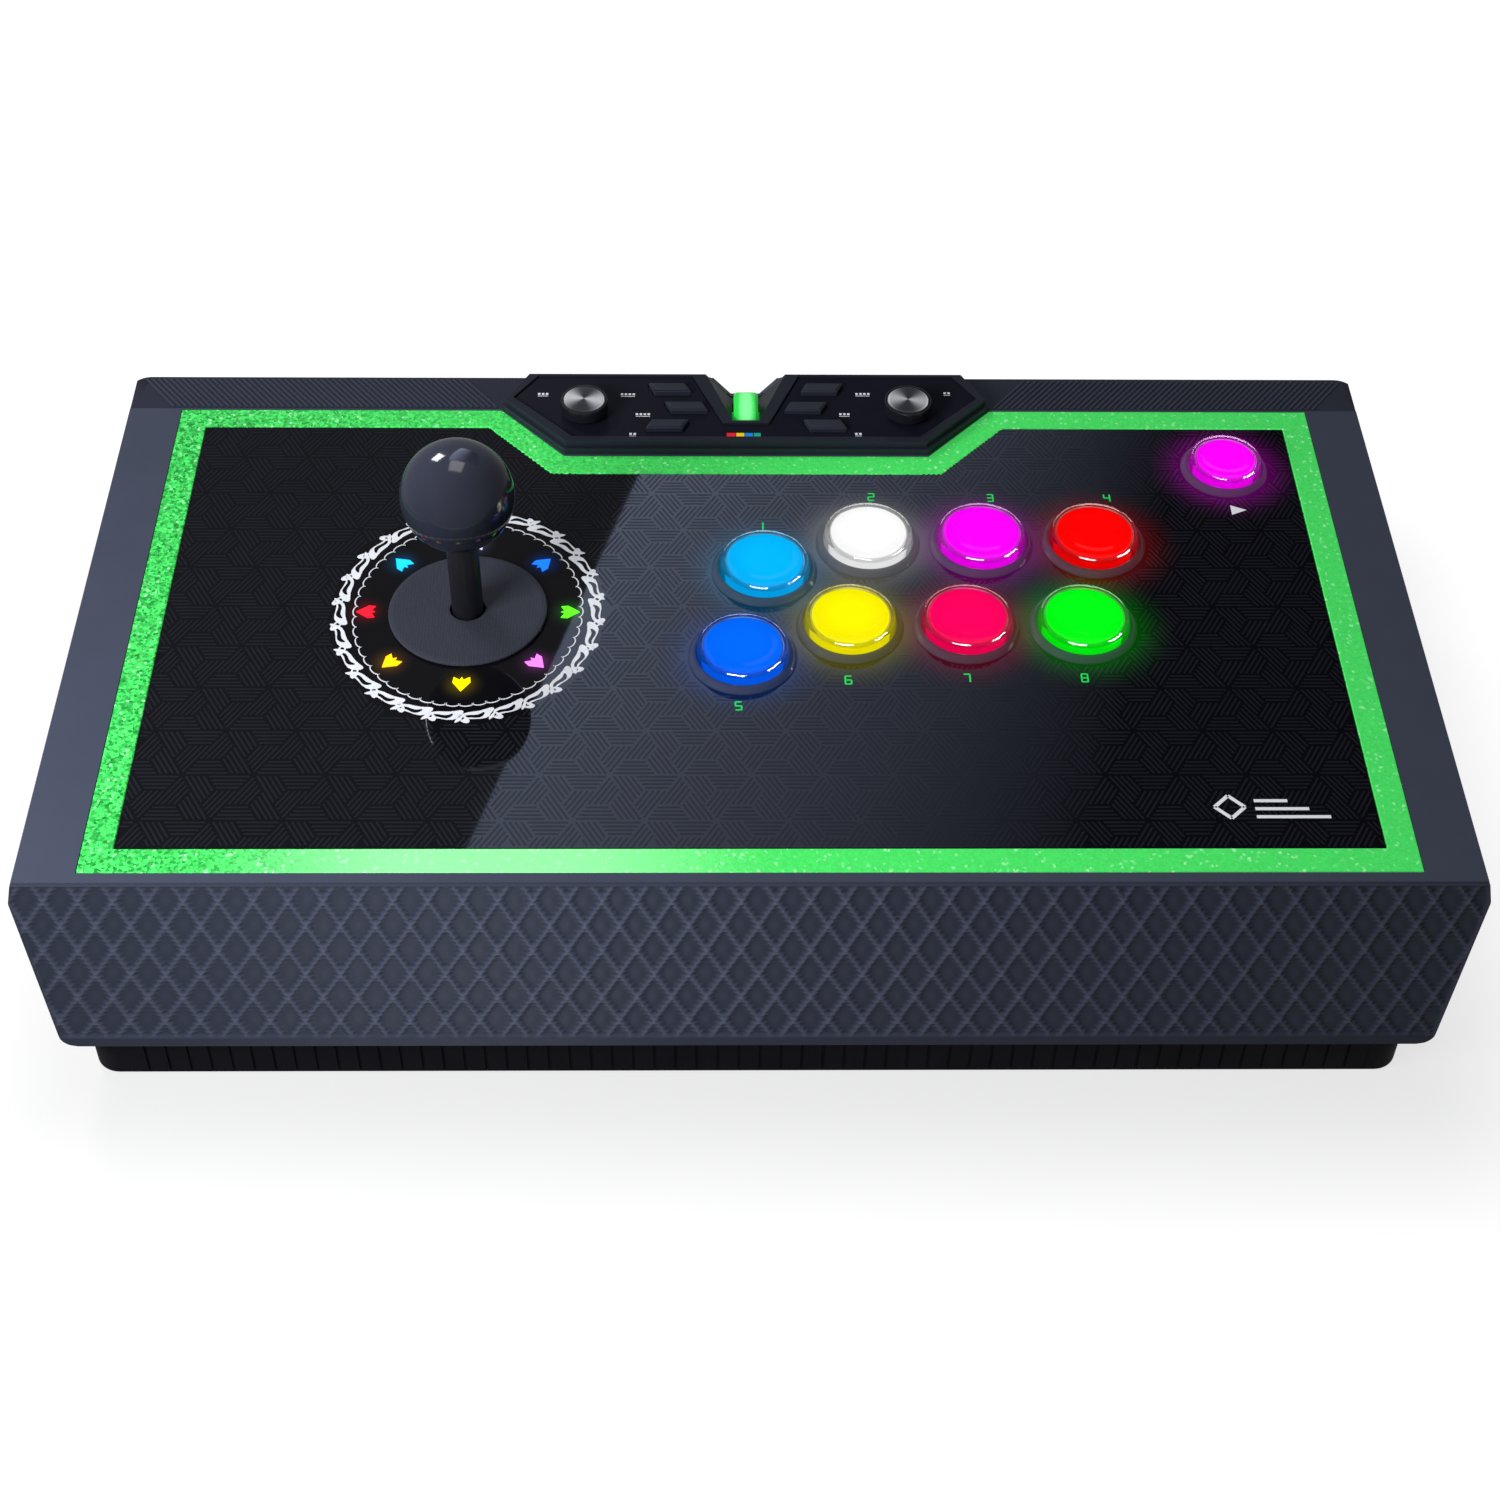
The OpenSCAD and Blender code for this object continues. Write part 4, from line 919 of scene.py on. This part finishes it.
def makePattern():
    side, high = pattern["side"], pattern["side"] * math.sqrt(3) / 2
    outline, steps, gap = panelOutline(), pattern["steps"], pattern["gap"]
    depth = pattern["lines"] * pattern["pitch"]
    rows = []

    def clear(x, y):
        if math.hypot((x - leverX) / rope["squeeze"], y - leverY) < pattern["leverClear"]:
            return False
        if any(math.hypot(x - bx, y - by) < radius + pattern["buttonClear"]
               for bx, by, radius in buttonSpots.values()):
            return False
        return inside(x, y, outline)

    def blend(shares, corners):
        return [sum(w * v[n] for w, v in zip(shares, corners)) / high for n in (0, 1)]

    def triangle(a, b, c):
        for corners in ((a, b, c), (b, c, a), (c, a, b)):
            for k in range(pattern["lines"]):
                off = (k + 0.5) * pattern["pitch"]
                p = blend((high - gap - off, gap, off), corners)
                q = blend((depth + gap, high - depth - gap - off, off), corners)
                spots = [[p[n] + (q[n] - p[n]) * t / steps for n in (0, 1)]
                         for t in range(steps + 1)]
                good = [t for t, spot in enumerate(spots) if clear(*spot)]
                # a stroke may be cut short, but never in two
                if len(good) > 2 and good[-1] - good[0] == len(good) - 1:
                    rows.append(line(*spots[good[0]], *spots[good[-1]], pattern["wide"]))

    for row in range(-pattern["rows"], pattern["rows"] + 1):
        y = row * high
        for column in range(-pattern["columns"], pattern["columns"]):
            x = column * side + (row % 2) * side / 2
            triangle((x, y), (x + side, y), (x + side / 2, y + high))
            triangle((x + side, y), (x + side * 1.5, y + high), (x + side / 2, y + high))
    sheenPieces.objects.link(
        strokes("panel_pattern", rows, panelTop - 0.01, panelTop + pattern["proud"],
                finishes["pattern"]))
    return len(rows)


rope = {"links": 26, "radius": 46.4, "squeeze": 0.875, "length": 13.2, "width": 3.9, "lean": 21,
        "hole": 0.42, "curlLength": 7.4, "curlWidth": 2.3, "curlLean": -34,
        "thread": 41.2, "threadSqueeze": 0.86, "arcs": 54, "arcWide": 0.36, "arcRise": 1.25,
        "thick": 0.08}


def linkMesh(name, outer, inner, thick):
    count = len(outer)
    verts = [(x, y, z) for z in (0, thick) for x, y in outer + inner]
    faces = []
    for k in range(count):
        n = (k + 1) % count
        faces.append([2 * count + k, 2 * count + n, 3 * count + n, 3 * count + k])
        faces.append([n, k, count + k, count + n])
        faces.append([k, n, 2 * count + n, 2 * count + k])
        faces.append([count + n, count + k, 3 * count + k, 3 * count + n])
    return meshOf(name, verts, faces)


def ringTree(name, link, material):
    tree, source, output = newTree(name, [
        ("Count", "NodeSocketInt", 20), ("Radius", "NodeSocketFloat", 0.04),
        ("Lean", "NodeSocketFloat", 0.2), ("Centre", "NodeSocketVector", None),
        ("Squeeze", "NodeSocketVector", None)])
    given = source.outputs
    circle = addNode(tree, "GeometryNodeMeshCircle", fill_type="NONE")
    feed(tree, circle.inputs["Vertices"], given["Count"])
    feed(tree, circle.inputs["Radius"], given["Radius"])
    move = addNode(tree, "GeometryNodeTransform")
    for key, value in (("Geometry", circle.outputs["Mesh"]), ("Translation", given["Centre"]),
                       ("Scale", given["Squeeze"])):
        feed(tree, move.inputs[key], value)
    shape = addNode(tree, "GeometryNodeObjectInfo")
    shape.inputs["Object"].default_value = link
    number = addNode(tree, "GeometryNodeInputIndex")
    share = mathNode(tree, "DIVIDE", number.outputs[0], given["Count"])
    angle = mathNode(tree, "MULTIPLY_ADD", share, 2 * math.pi, given["Lean"])
    placed = instanced(tree, move.outputs["Geometry"], shape.outputs["Geometry"], angle)
    finishTree(tree, placed, output, material)
    return tree


def makeRing(name, link, count, radius, squeeze, lean=0):
    holder = linked(name + "_link", link)
    grown(name, pointMesh(name, [(0, 0, 0)]), ringTree(name + "_tree", holder, finishes["rope"]),
          {"Count": count, "Radius": radius * mm, "Lean": lean,
           "Centre": (leverX * mm, leverY * mm, panelTop * mm), "Squeeze": (squeeze, 1, 1)},
          "root", (), 0)
    bpy.data.objects.remove(holder)


def makeRope():
    half, wide, steps = rope["length"] / 2, rope["width"] / 2, 22
    outer, inner = [], []
    for k in range(steps):
        t = 2 * math.pi * k / steps
        along = half * math.cos(t)
        bend = 0.9 * math.sin(math.pi * along / half)
        out = wide * math.sin(t) * (0.875 + 0.325 * math.cos(t))
        outer.append((bend + out, along))
        inner.append((bend * 0.9 + out * rope["hole"] + 0.15, along * 0.62 - 0.6))
    makeRing("rope_ring", linkMesh("rope_link", outer, inner, rope["thick"]), rope["links"],
             rope["radius"], rope["squeeze"], math.radians(rope["lean"]))
    outer, inner = [], []
    halfPitch = math.pi * rope["radius"] / rope["links"]
    slant = math.radians(rope["curlLean"])
    for k in range(14):
        t = 2 * math.pi * k / 14
        for reach, points in ((1, outer), (0.48, inner)):
            across = rope["curlWidth"] / 2 * reach * math.sin(t) * (1 + 0.4 * math.cos(t))
            along = rope["curlLength"] / 2 * reach * math.cos(t)
            points.append((across * math.cos(slant) - along * math.sin(slant),
                           halfPitch + across * math.sin(slant) + along * math.cos(slant)))
    makeRing("rope_curls", linkMesh("rope_curl", outer, inner, rope["thick"] * 0.8),
             rope["links"], rope["radius"], rope["squeeze"])
    arc, rise = math.pi * rope["thread"] / rope["arcs"], rope["arcRise"]
    turns = [math.pi * k / 8 for k in range(9)]
    loop = [(rise * math.sin(t), arc * math.cos(t)) for t in turns]
    loop += [(rise * math.sin(t) - rope["arcWide"], arc * math.cos(t) * 0.97)
             for t in reversed(turns)]
    makeRing("thread_ring", meshOf("thread_arc", *prism(loop, 0, rope["thick"])), rope["arcs"],
             rope["thread"], rope["threadSqueeze"])


def makeArrows():
    work = merged("direction_lenses")
    for face in work.faces:
        spot = face.calc_center_median() / mm
        angle = math.atan2(spot.y - leverY, spot.x - leverX)
        face.material_index = round(angle / (math.pi / 4)) % 8
    settle(linked("arrow_lights", meshFrom(work, "arrow_lights")),
           [arrowFinish(k, rgb) for k, rgb in enumerate(arrowColours)], "root",
           ["direction_lenses"], 30)


segments = {"a": (0, 2, 1, 2), "b": (1, 1, 1, 2), "c": (1, 0, 1, 1), "d": (0, 0, 1, 0),
            "e": (0, 0, 0, 1), "f": (0, 1, 0, 2), "g": (0, 1, 1, 1)}
digits = {"1": "bc", "2": "abged", "3": "abgcd", "4": "fgbc", "5": "afgcd", "6": "afgedc",
          "7": "abc", "8": "abcdefg"}
labels = {"height": 2.3, "width": 1.9, "stroke": 0.5, "proud": 0.06,
          "spots": {"1": (4.1, 38.7), "2": (41.4, 53.4), "3": (81.2, 53.0), "4": (120.4, 53.1),
                    "5": (-3.7, -44.6), "6": (30.5, -33.3), "7": (67.4, -32.4),
                    "8": (104.1, -32.3)},
          "startMark": (163.9, 47.1), "startSize": (2.6, 2.4), "corner": (141.5, -86.5),
          "cornerReach": 4.5, "cornerStroke": 1.2,
          "cornerLines": ((149, 171, -90.4), (149, 165, -87.2), (149, 159, -84))}


def makeLabels():
    rows = []
    wide, tall, proud = labels["width"], labels["height"] * 1.5, labels["proud"]
    for digit, (x, y) in labels["spots"].items():
        for part in digits[digit]:
            x0, y0, x1, y1 = segments[part]
            rows.append(line(x + (x0 - 0.5) * wide, y + (y0 / 2 - 0.5) * tall,
                             x + (x1 - 0.5) * wide, y + (y1 / 2 - 0.5) * tall,
                             labels["stroke"]))
    strokes("button_numbers", rows, panelTop, panelTop + proud, finishes["greenInkWithPaintedGlow"])
    (x, y), (across, up) = labels["startMark"], labels["startSize"]
    verts, faces = prism([(x - across, y - up), (x + across, y), (x - across, y + up)], panelTop,
                         panelTop + proud)
    newPiece("start_mark", verts, faces, finishes["white"], "root", (), "panel_gloss", 0)
    (x, y), reach, stroke = labels["corner"], labels["cornerReach"], labels["cornerStroke"]
    tips = [(x - reach, y), (x, y + reach), (x + reach, y), (x, y - reach)]
    rows = [line(*tips[k], *tips[(k + 1) % 4], stroke) for k in range(4)]
    rows += [line(x0, y0, x1, y0, stroke) for x0, x1, y0 in labels["cornerLines"]]
    strokes("corner_mark", rows, panelTop, panelTop + proud, finishes["white"])


sheenPieces.objects.link(
    softened("gloss_panel", "art_panel", 0.25, finishes["panel"]))
print("pattern strokes:", makePattern())
makeRope()
makeArrows()
makeLabels()
print("panel made")

# buttons

button = {"wall": 1.5, "topRound": 2.3, "dish": 0.35, "sides": 72, "roof": 1.7, "capFoot": 94.7,
          "lightFoot": 95.2, "rimGap": 0.3, "rimWall": 1.1, "rimFlange": 1.45, "rimEdge": 0.5}


def makeButton(label):
    x, y, radius = buttonSpots[label]
    high, lampHigh = span("plunger_" + label)[1], span("lamp_" + label)[1]
    top, foot, inner = high.z, button["capFoot"], radius - button["wall"]
    body = homeBody["plunger_" + label]
    rgb = lightColours[label]
    shell = filleted([
        (0, top - button["dish"]), (radius * 0.62, top - button["dish"] * 0.8, 6),
        (radius * 0.78, top, 1.6), (radius, top - 0.5, button["topRound"]), (radius, foot),
        (inner, foot), (inner, top - button["roof"], 0.8), (0, top - button["roof"])])
    shell = [(0, shell[0][1])] + shell[1:-1] + [(0, shell[-1][1])]
    capPieces.objects.link(
        newPiece("cap_" + label, *turned(shell, (x, y, 0), button["sides"]),
                 clearFinish(label, rgb), body, ["plunger_" + label], "plunger_clear", 40))
    glow = filleted([
        (0, lampHigh.z), (inner - 0.45, lampHigh.z - 0.05, 0.5),
        (inner - 0.75, lampHigh.z - 1.3, 0.3), (inner - 0.1, lampHigh.z - 1.9, 0.3),
        (inner - 0.1, button["lightFoot"]), (0, button["lightFoot"])])
    newPiece("light_" + label, *turned(glow, (x, y, 0), button["sides"]),
             lampFinish(label, rgb), body, ["lamp_" + label], "lamp_" + lampNames[label], 40)


def makeRims():
    verts, faces = [], []
    bottom, top = (corner.z for corner in span("button_housings"))
    for x, y, radius in buttonSpots.values():
        inner = radius + button["rimGap"]
        barrel = inner + button["rimWall"]
        outer = barrel + button["rimFlange"]
        profile = filleted([
            (inner, bottom), (barrel, bottom), (barrel, panelTop), (outer, panelTop),
            (outer, panelTop + button["rimEdge"], 0.3), (outer - 1.2, top, 1.2),
            (inner, top, 0.4)])
        ringVerts, ringFaces = turned(profile, (x, y, 0), button["sides"])
        faces += [[len(verts) + k for k in face] for face in ringFaces]
        verts += ringVerts
    newPiece("button_rims", verts, faces, finishes["rim"], "root", ["button_housings"],
             "button_black", 40)


for label in buttonNames:
    makeButton(label)
makeRims()
print("buttons made")

# lever

ball = {"radius": 17.5, "neck": 6.2, "rings": 56, "sides": 96}
sleeve = {"inner": 3.8, "outer": 5, "seam": 100.6, "sides": 48}
washer = {"edge": 1.6, "dip": 0.02, "sides": 96, "weave": 1050}


def makeLever():
    low, high = span("ball_top")
    centre = high.z - ball["radius"]
    radius, neck = ball["radius"], ball["neck"]
    profile = [(0, high.z)]
    stop = math.pi - math.asin(neck / radius)
    for k in range(1, ball["rings"] + 1):
        t = stop * k / ball["rings"]
        profile.append((radius * math.sin(t), centre + radius * math.cos(t)))
    profile += [(neck, low.z + 0.2), (neck - 0.8, low.z), (0, low.z)]
    gloss = finish("ball_gloss", tone(35, 37, 48), 0.1, (700, 0.004), 0.08, 0.03,
                   Specular_IOR_Level=0.22)
    piece = newPiece("ball", *turned(profile, (leverX, leverY, 0), ball["sides"]), gloss,
                     "lever", ["ball_top"], "ball_gloss", 50)
    sheenPieces.objects.link(piece)
    ballPieces.objects.link(piece)
    sleeveLow, sleeveHigh = span("shaft_sleeve")
    inner, outer = sleeve["inner"], sleeve["outer"]
    profile = filleted([
        (inner, sleeveLow.z), (outer, sleeveLow.z, 0.6), (outer, sleeve["seam"], 0.3),
        (outer, sleeveHigh.z, 0.5), (inner, sleeveHigh.z)])
    newPiece("sleeve", *turned(profile, (leverX, leverY, 0), sleeve["sides"]),
             finishes["sleeve"], "lever", ["shaft_sleeve"], "sleeve_black", 40)


def makeWasher():
    low, high = washerLow, washerHigh
    hole = min(math.hypot(v.co.x / mm - leverX, v.co.y / mm - leverY)
               for v in nodes["dust_washer"].data.vertices)
    outer = (high.x - low.x) / 2
    edge, flat = washer["edge"], high.z - washer["dip"]
    profile = filleted([
        (hole, low.z), (outer, low.z, 0.3), (outer, high.z - 0.25, 0.45),
        (outer - edge, flat, 0.5), (hole + edge, flat, 0.4), (hole, high.z, 0.2)])
    cloth = finish("washer_weave", tone(50, 52, 62), 0.62, (1500, 0.05), 0.14,
                   Specular_IOR_Level=0.25)
    tree = cloth.node_tree
    reBump(tree, 0.22, 0.8, cells(tree, washer["weave"], 0.35)["Distance"])
    newPiece("washer", *turned(profile, (leverX, leverY, 0), washer["sides"]), cloth, "washer",
             ["dust_washer"], "washer_black", 40)


makeLever()
makeWasher()
print("lever made")

# control module

# glow sets the painted glow of the spun knob faces
knob = {"grooves": 26, "stem": 3, "foot": 102.4, "grooveDeep": 0.03, "glow": 0.42}


def discFinish(x, y, name):
    made = finish(name, tone(176, 178, 186), 0.24, (900, 0.01), 0.06, Metallic=1.0)
    tree, shader = opened(made)
    axes = axesOf(tree)
    across = mathNode(tree, "SUBTRACT", axes["X"], x * mm)
    along = mathNode(tree, "SUBTRACT", axes["Y"], y * mm)
    angle = mathNode(tree, "ARCTAN2", along, across)
    radius = mathNode(tree, "SQRT", mathNode(
        tree, "ADD", mathNode(tree, "POWER", across, 2), mathNode(tree, "POWER", along, 2)))
    # painted highlight: two bright lobes round the spun face, with fine turned rings
    paintedLobes = mathNode(tree, "MULTIPLY_ADD", mathNode(
        tree, "SINE", mathNode(tree, "MULTIPLY_ADD", angle, 2, 1.9)), 0.5, 0.5)
    rings = mathNode(tree, "SINE", mathNode(tree, "MULTIPLY", radius, 26000))
    ringsAndPaintedHighlight = mathNode(tree, "MULTIPLY_ADD", rings, 0.06, mathNode(tree, "POWER", paintedLobes, 1.8))
    spunFaceWithPaintedHighlight = mixColour(tree, ringsAndPaintedHighlight, tone(58, 60, 68), tone(226, 228, 234))
    feed(tree, shader.inputs["Base Color"], spunFaceWithPaintedHighlight)
    # painted glow: the face emits its own highlight colour
    litBy(tree, shader, spunFaceWithPaintedHighlight, knob["glow"])
    return made


def makeKnobs():
    foot, stem, deep, turns = knob["foot"], knob["stem"], knob["grooveDeep"], knob["grooves"] * 2
    for side in ("left", "right"):
        dial, disc = "knob_" + side, "knob_disc_" + side
        low, high = span(dial)
        discLow, discHigh = span(disc)
        x, y, radius = (low.x + high.x) / 2, (low.y + high.y) / 2, (high.x - low.x) / 2
        seat = (discHigh.x - discLow.x) / 2
        profile = filleted([
            (0, low.z), (stem, low.z), (stem, foot), (radius - 0.5, foot, 0.3),
            (radius, foot + 0.8, 0.4), (radius, high.z, 0.45), (seat + 0.1, high.z, 0.1),
            (seat + 0.1, discLow.z), (0, discLow.z)])
        newPiece("dial_" + side, *turned(profile, (x, y, 0), 96), finishes["knobSide"],
                 homeBody[dial], [dial], "knob_black", 35)
        profile = [(0, discLow.z), (seat - 0.05, discLow.z), (seat - 0.05, discHigh.z - 0.35),
                   (seat - 0.4, discHigh.z)]
        profile += [((seat - 0.5) * (1 - k / turns), discHigh.z - deep * (k % 2))
                    for k in range(1, turns)]
        profile.append((0, discHigh.z - 0.02))
        newPiece("dial_face_" + side, *turned(profile, (x, y, 0), 72),
                 discFinish(x, y, "spun_face_painted_highlight_" + side), homeBody[disc], [disc], "knob_alu", 60)


# glow sets the painted glow of the finger wheel
wheel = {"half": 4.2, "axle": 1.6, "axleHalf": 7.4, "crown": 1.6, "glow": 0.3}


def makeWheel():
    low, high = span("thumb_wheel")
    radius = (high.z - low.z) / 2
    half, axle, axleHalf, crown = (wheel[k] for k in ("half", "axle", "axleHalf", "crown"))
    side = [(radius, crown, 0.5), (radius - 0.1, half - 0.9, 0.4), (radius - 0.9, half, 0.4),
            (axle, half), (axle, axleHalf, 0.3), (0, axleHalf)]
    other = [(r, -h, *rounding) for r, h, *rounding in reversed(side)]
    verts, faces = turned(filleted(other + side), (0, (low.y + high.y) / 2,
                                                   (low.z + high.z) / 2), 96, "X")
    made = finish("wheel_green", tone(40, 220, 80), 0.3, (1500, 0.03), 0.06,
                  Specular_IOR_Level=0.4)
    tree, shader = opened(made)
    # painted highlight: a pale band round the middle of the wheel
    paintedHighlightBand = remap(tree, mathNode(tree, "ABSOLUTE", axesOf(tree)["X"]), 0.0006, 0.0036, 1, 0,
                 "SMOOTHSTEP")
    body = mixColour(tree, paintedHighlightBand, tone(30, 196, 66), tone(128, 255, 150))
    feed(tree, shader.inputs["Base Color"], body)
    # painted glow: the wheel emits its own colour
    litBy(tree, shader, body, wheel["glow"])
    newPiece("finger_wheel", verts, faces, made, "wheel", ["thumb_wheel"], "wheel_green", 50)


def lensFinish():
    made = finish("status_lens", tone(20, 20, 28), 0.12, (900, 0.01), 0.1, 0.03)
    tree, shader = opened(made)
    low, high = span("status_lens")
    axes = axesOf(tree)
    ramp = addNode(tree, "ShaderNodeValToRGB")
    ramp.color_ramp.interpolation = "CONSTANT"
    stops = [(0, (0, 0, 0)), (0.06, tone(225, 30, 40)), (0.29, (0, 0, 0)),
             (0.31, tone(240, 200, 30)), (0.52, (0, 0, 0)), (0.54, tone(20, 130, 220)),
             (0.75, (0, 0, 0)), (0.77, tone(20, 160, 130)), (0.95, (0, 0, 0))]
    bar = ramp.color_ramp
    while len(bar.elements) < len(stops):
        bar.elements.new(0.5)
    for element, (spot, colour) in zip(bar.elements, stops):
        element.position = spot
        element.color = (*colour, 1)
    feed(tree, ramp.inputs["Fac"], remap(tree, axes["X"], low.x * mm, high.x * mm, 0, 1))
    flat = mathNode(tree, "LESS_THAN", axes["Y"], ((low.y + high.y) / 2 + 0.55) * mm)
    lit = mixColour(tree, flat, (0, 0, 0), ramp.outputs["Color"])
    litBy(tree, shader, lit, 0.9)
    return made


# x, y and how many short marks stand in the row
moduleMarks = [(-70.1, 102.9, 3), (-40.8, 102.8, 4), (-35.4, 91.9, 4), (-38.7, 81.3, 2),
               (40.5, 103.3, 4), (33.8, 92.2, 3), (38.2, 81.6, 2), (69.8, 103.8, 2)]
markSize = {"pitch": 1.35, "wide": 0.85, "tall": 0.95, "under": 1.15, "line": 0.25,
            "proud": 0.04}


def makeModuleMarks():
    top = span("module_fascia")[1].z
    rows, pitch = [], markSize["pitch"]
    for x, y, count in moduleMarks:
        rows += [(x + (k - (count - 1) / 2) * pitch, y, 0, markSize["wide"], markSize["tall"])
                 for k in range(count)]
        rows.append((x, y - markSize["under"], 0, count * pitch - 0.5, markSize["line"]))
    strokes("module_marks", rows, top, top + markSize["proud"], finishes["white"])


softened("module_body", "module_housing", 0.5, finishes["module"], 18)
softened("module_plate", "module_fascia", 0.25, finishes["fascia"])
for node in nodes:
    if node.startswith("key_"):
        softened("cap_" + node, node, 0.3, finishes["key"])
makeKnobs()
makeWheel()
softened("status_window", "status_lens", 0.12, lensFinish())
makeModuleMarks()
print("module made")

# inner pieces keep their shape and get their finish

innerFinishes = {
    "machine_screws": "screw", "mounting_plate": "plate", "main_board": "board",
    "usb_socket": "connector", "module_board": "board", "shaft": "shaft",
    "dust_shutter": "sleeve", "gimbal_ring": "gimbal", "pivot_block": "gimbal",
    "actuator": "actuator", "centering_spring": "spring", "lever_housing": "housing",
    "restrictor_gate": "gate", "lever_switches": "switchRed", "button_nuts": "nut",
    "button_switches": "switchGrey"}
for node, key in innerFinishes.items():
    mesh = nodes[node].data
    mesh.materials.clear()
    mesh.materials.append(finishes[key])
print("inner pieces finished")
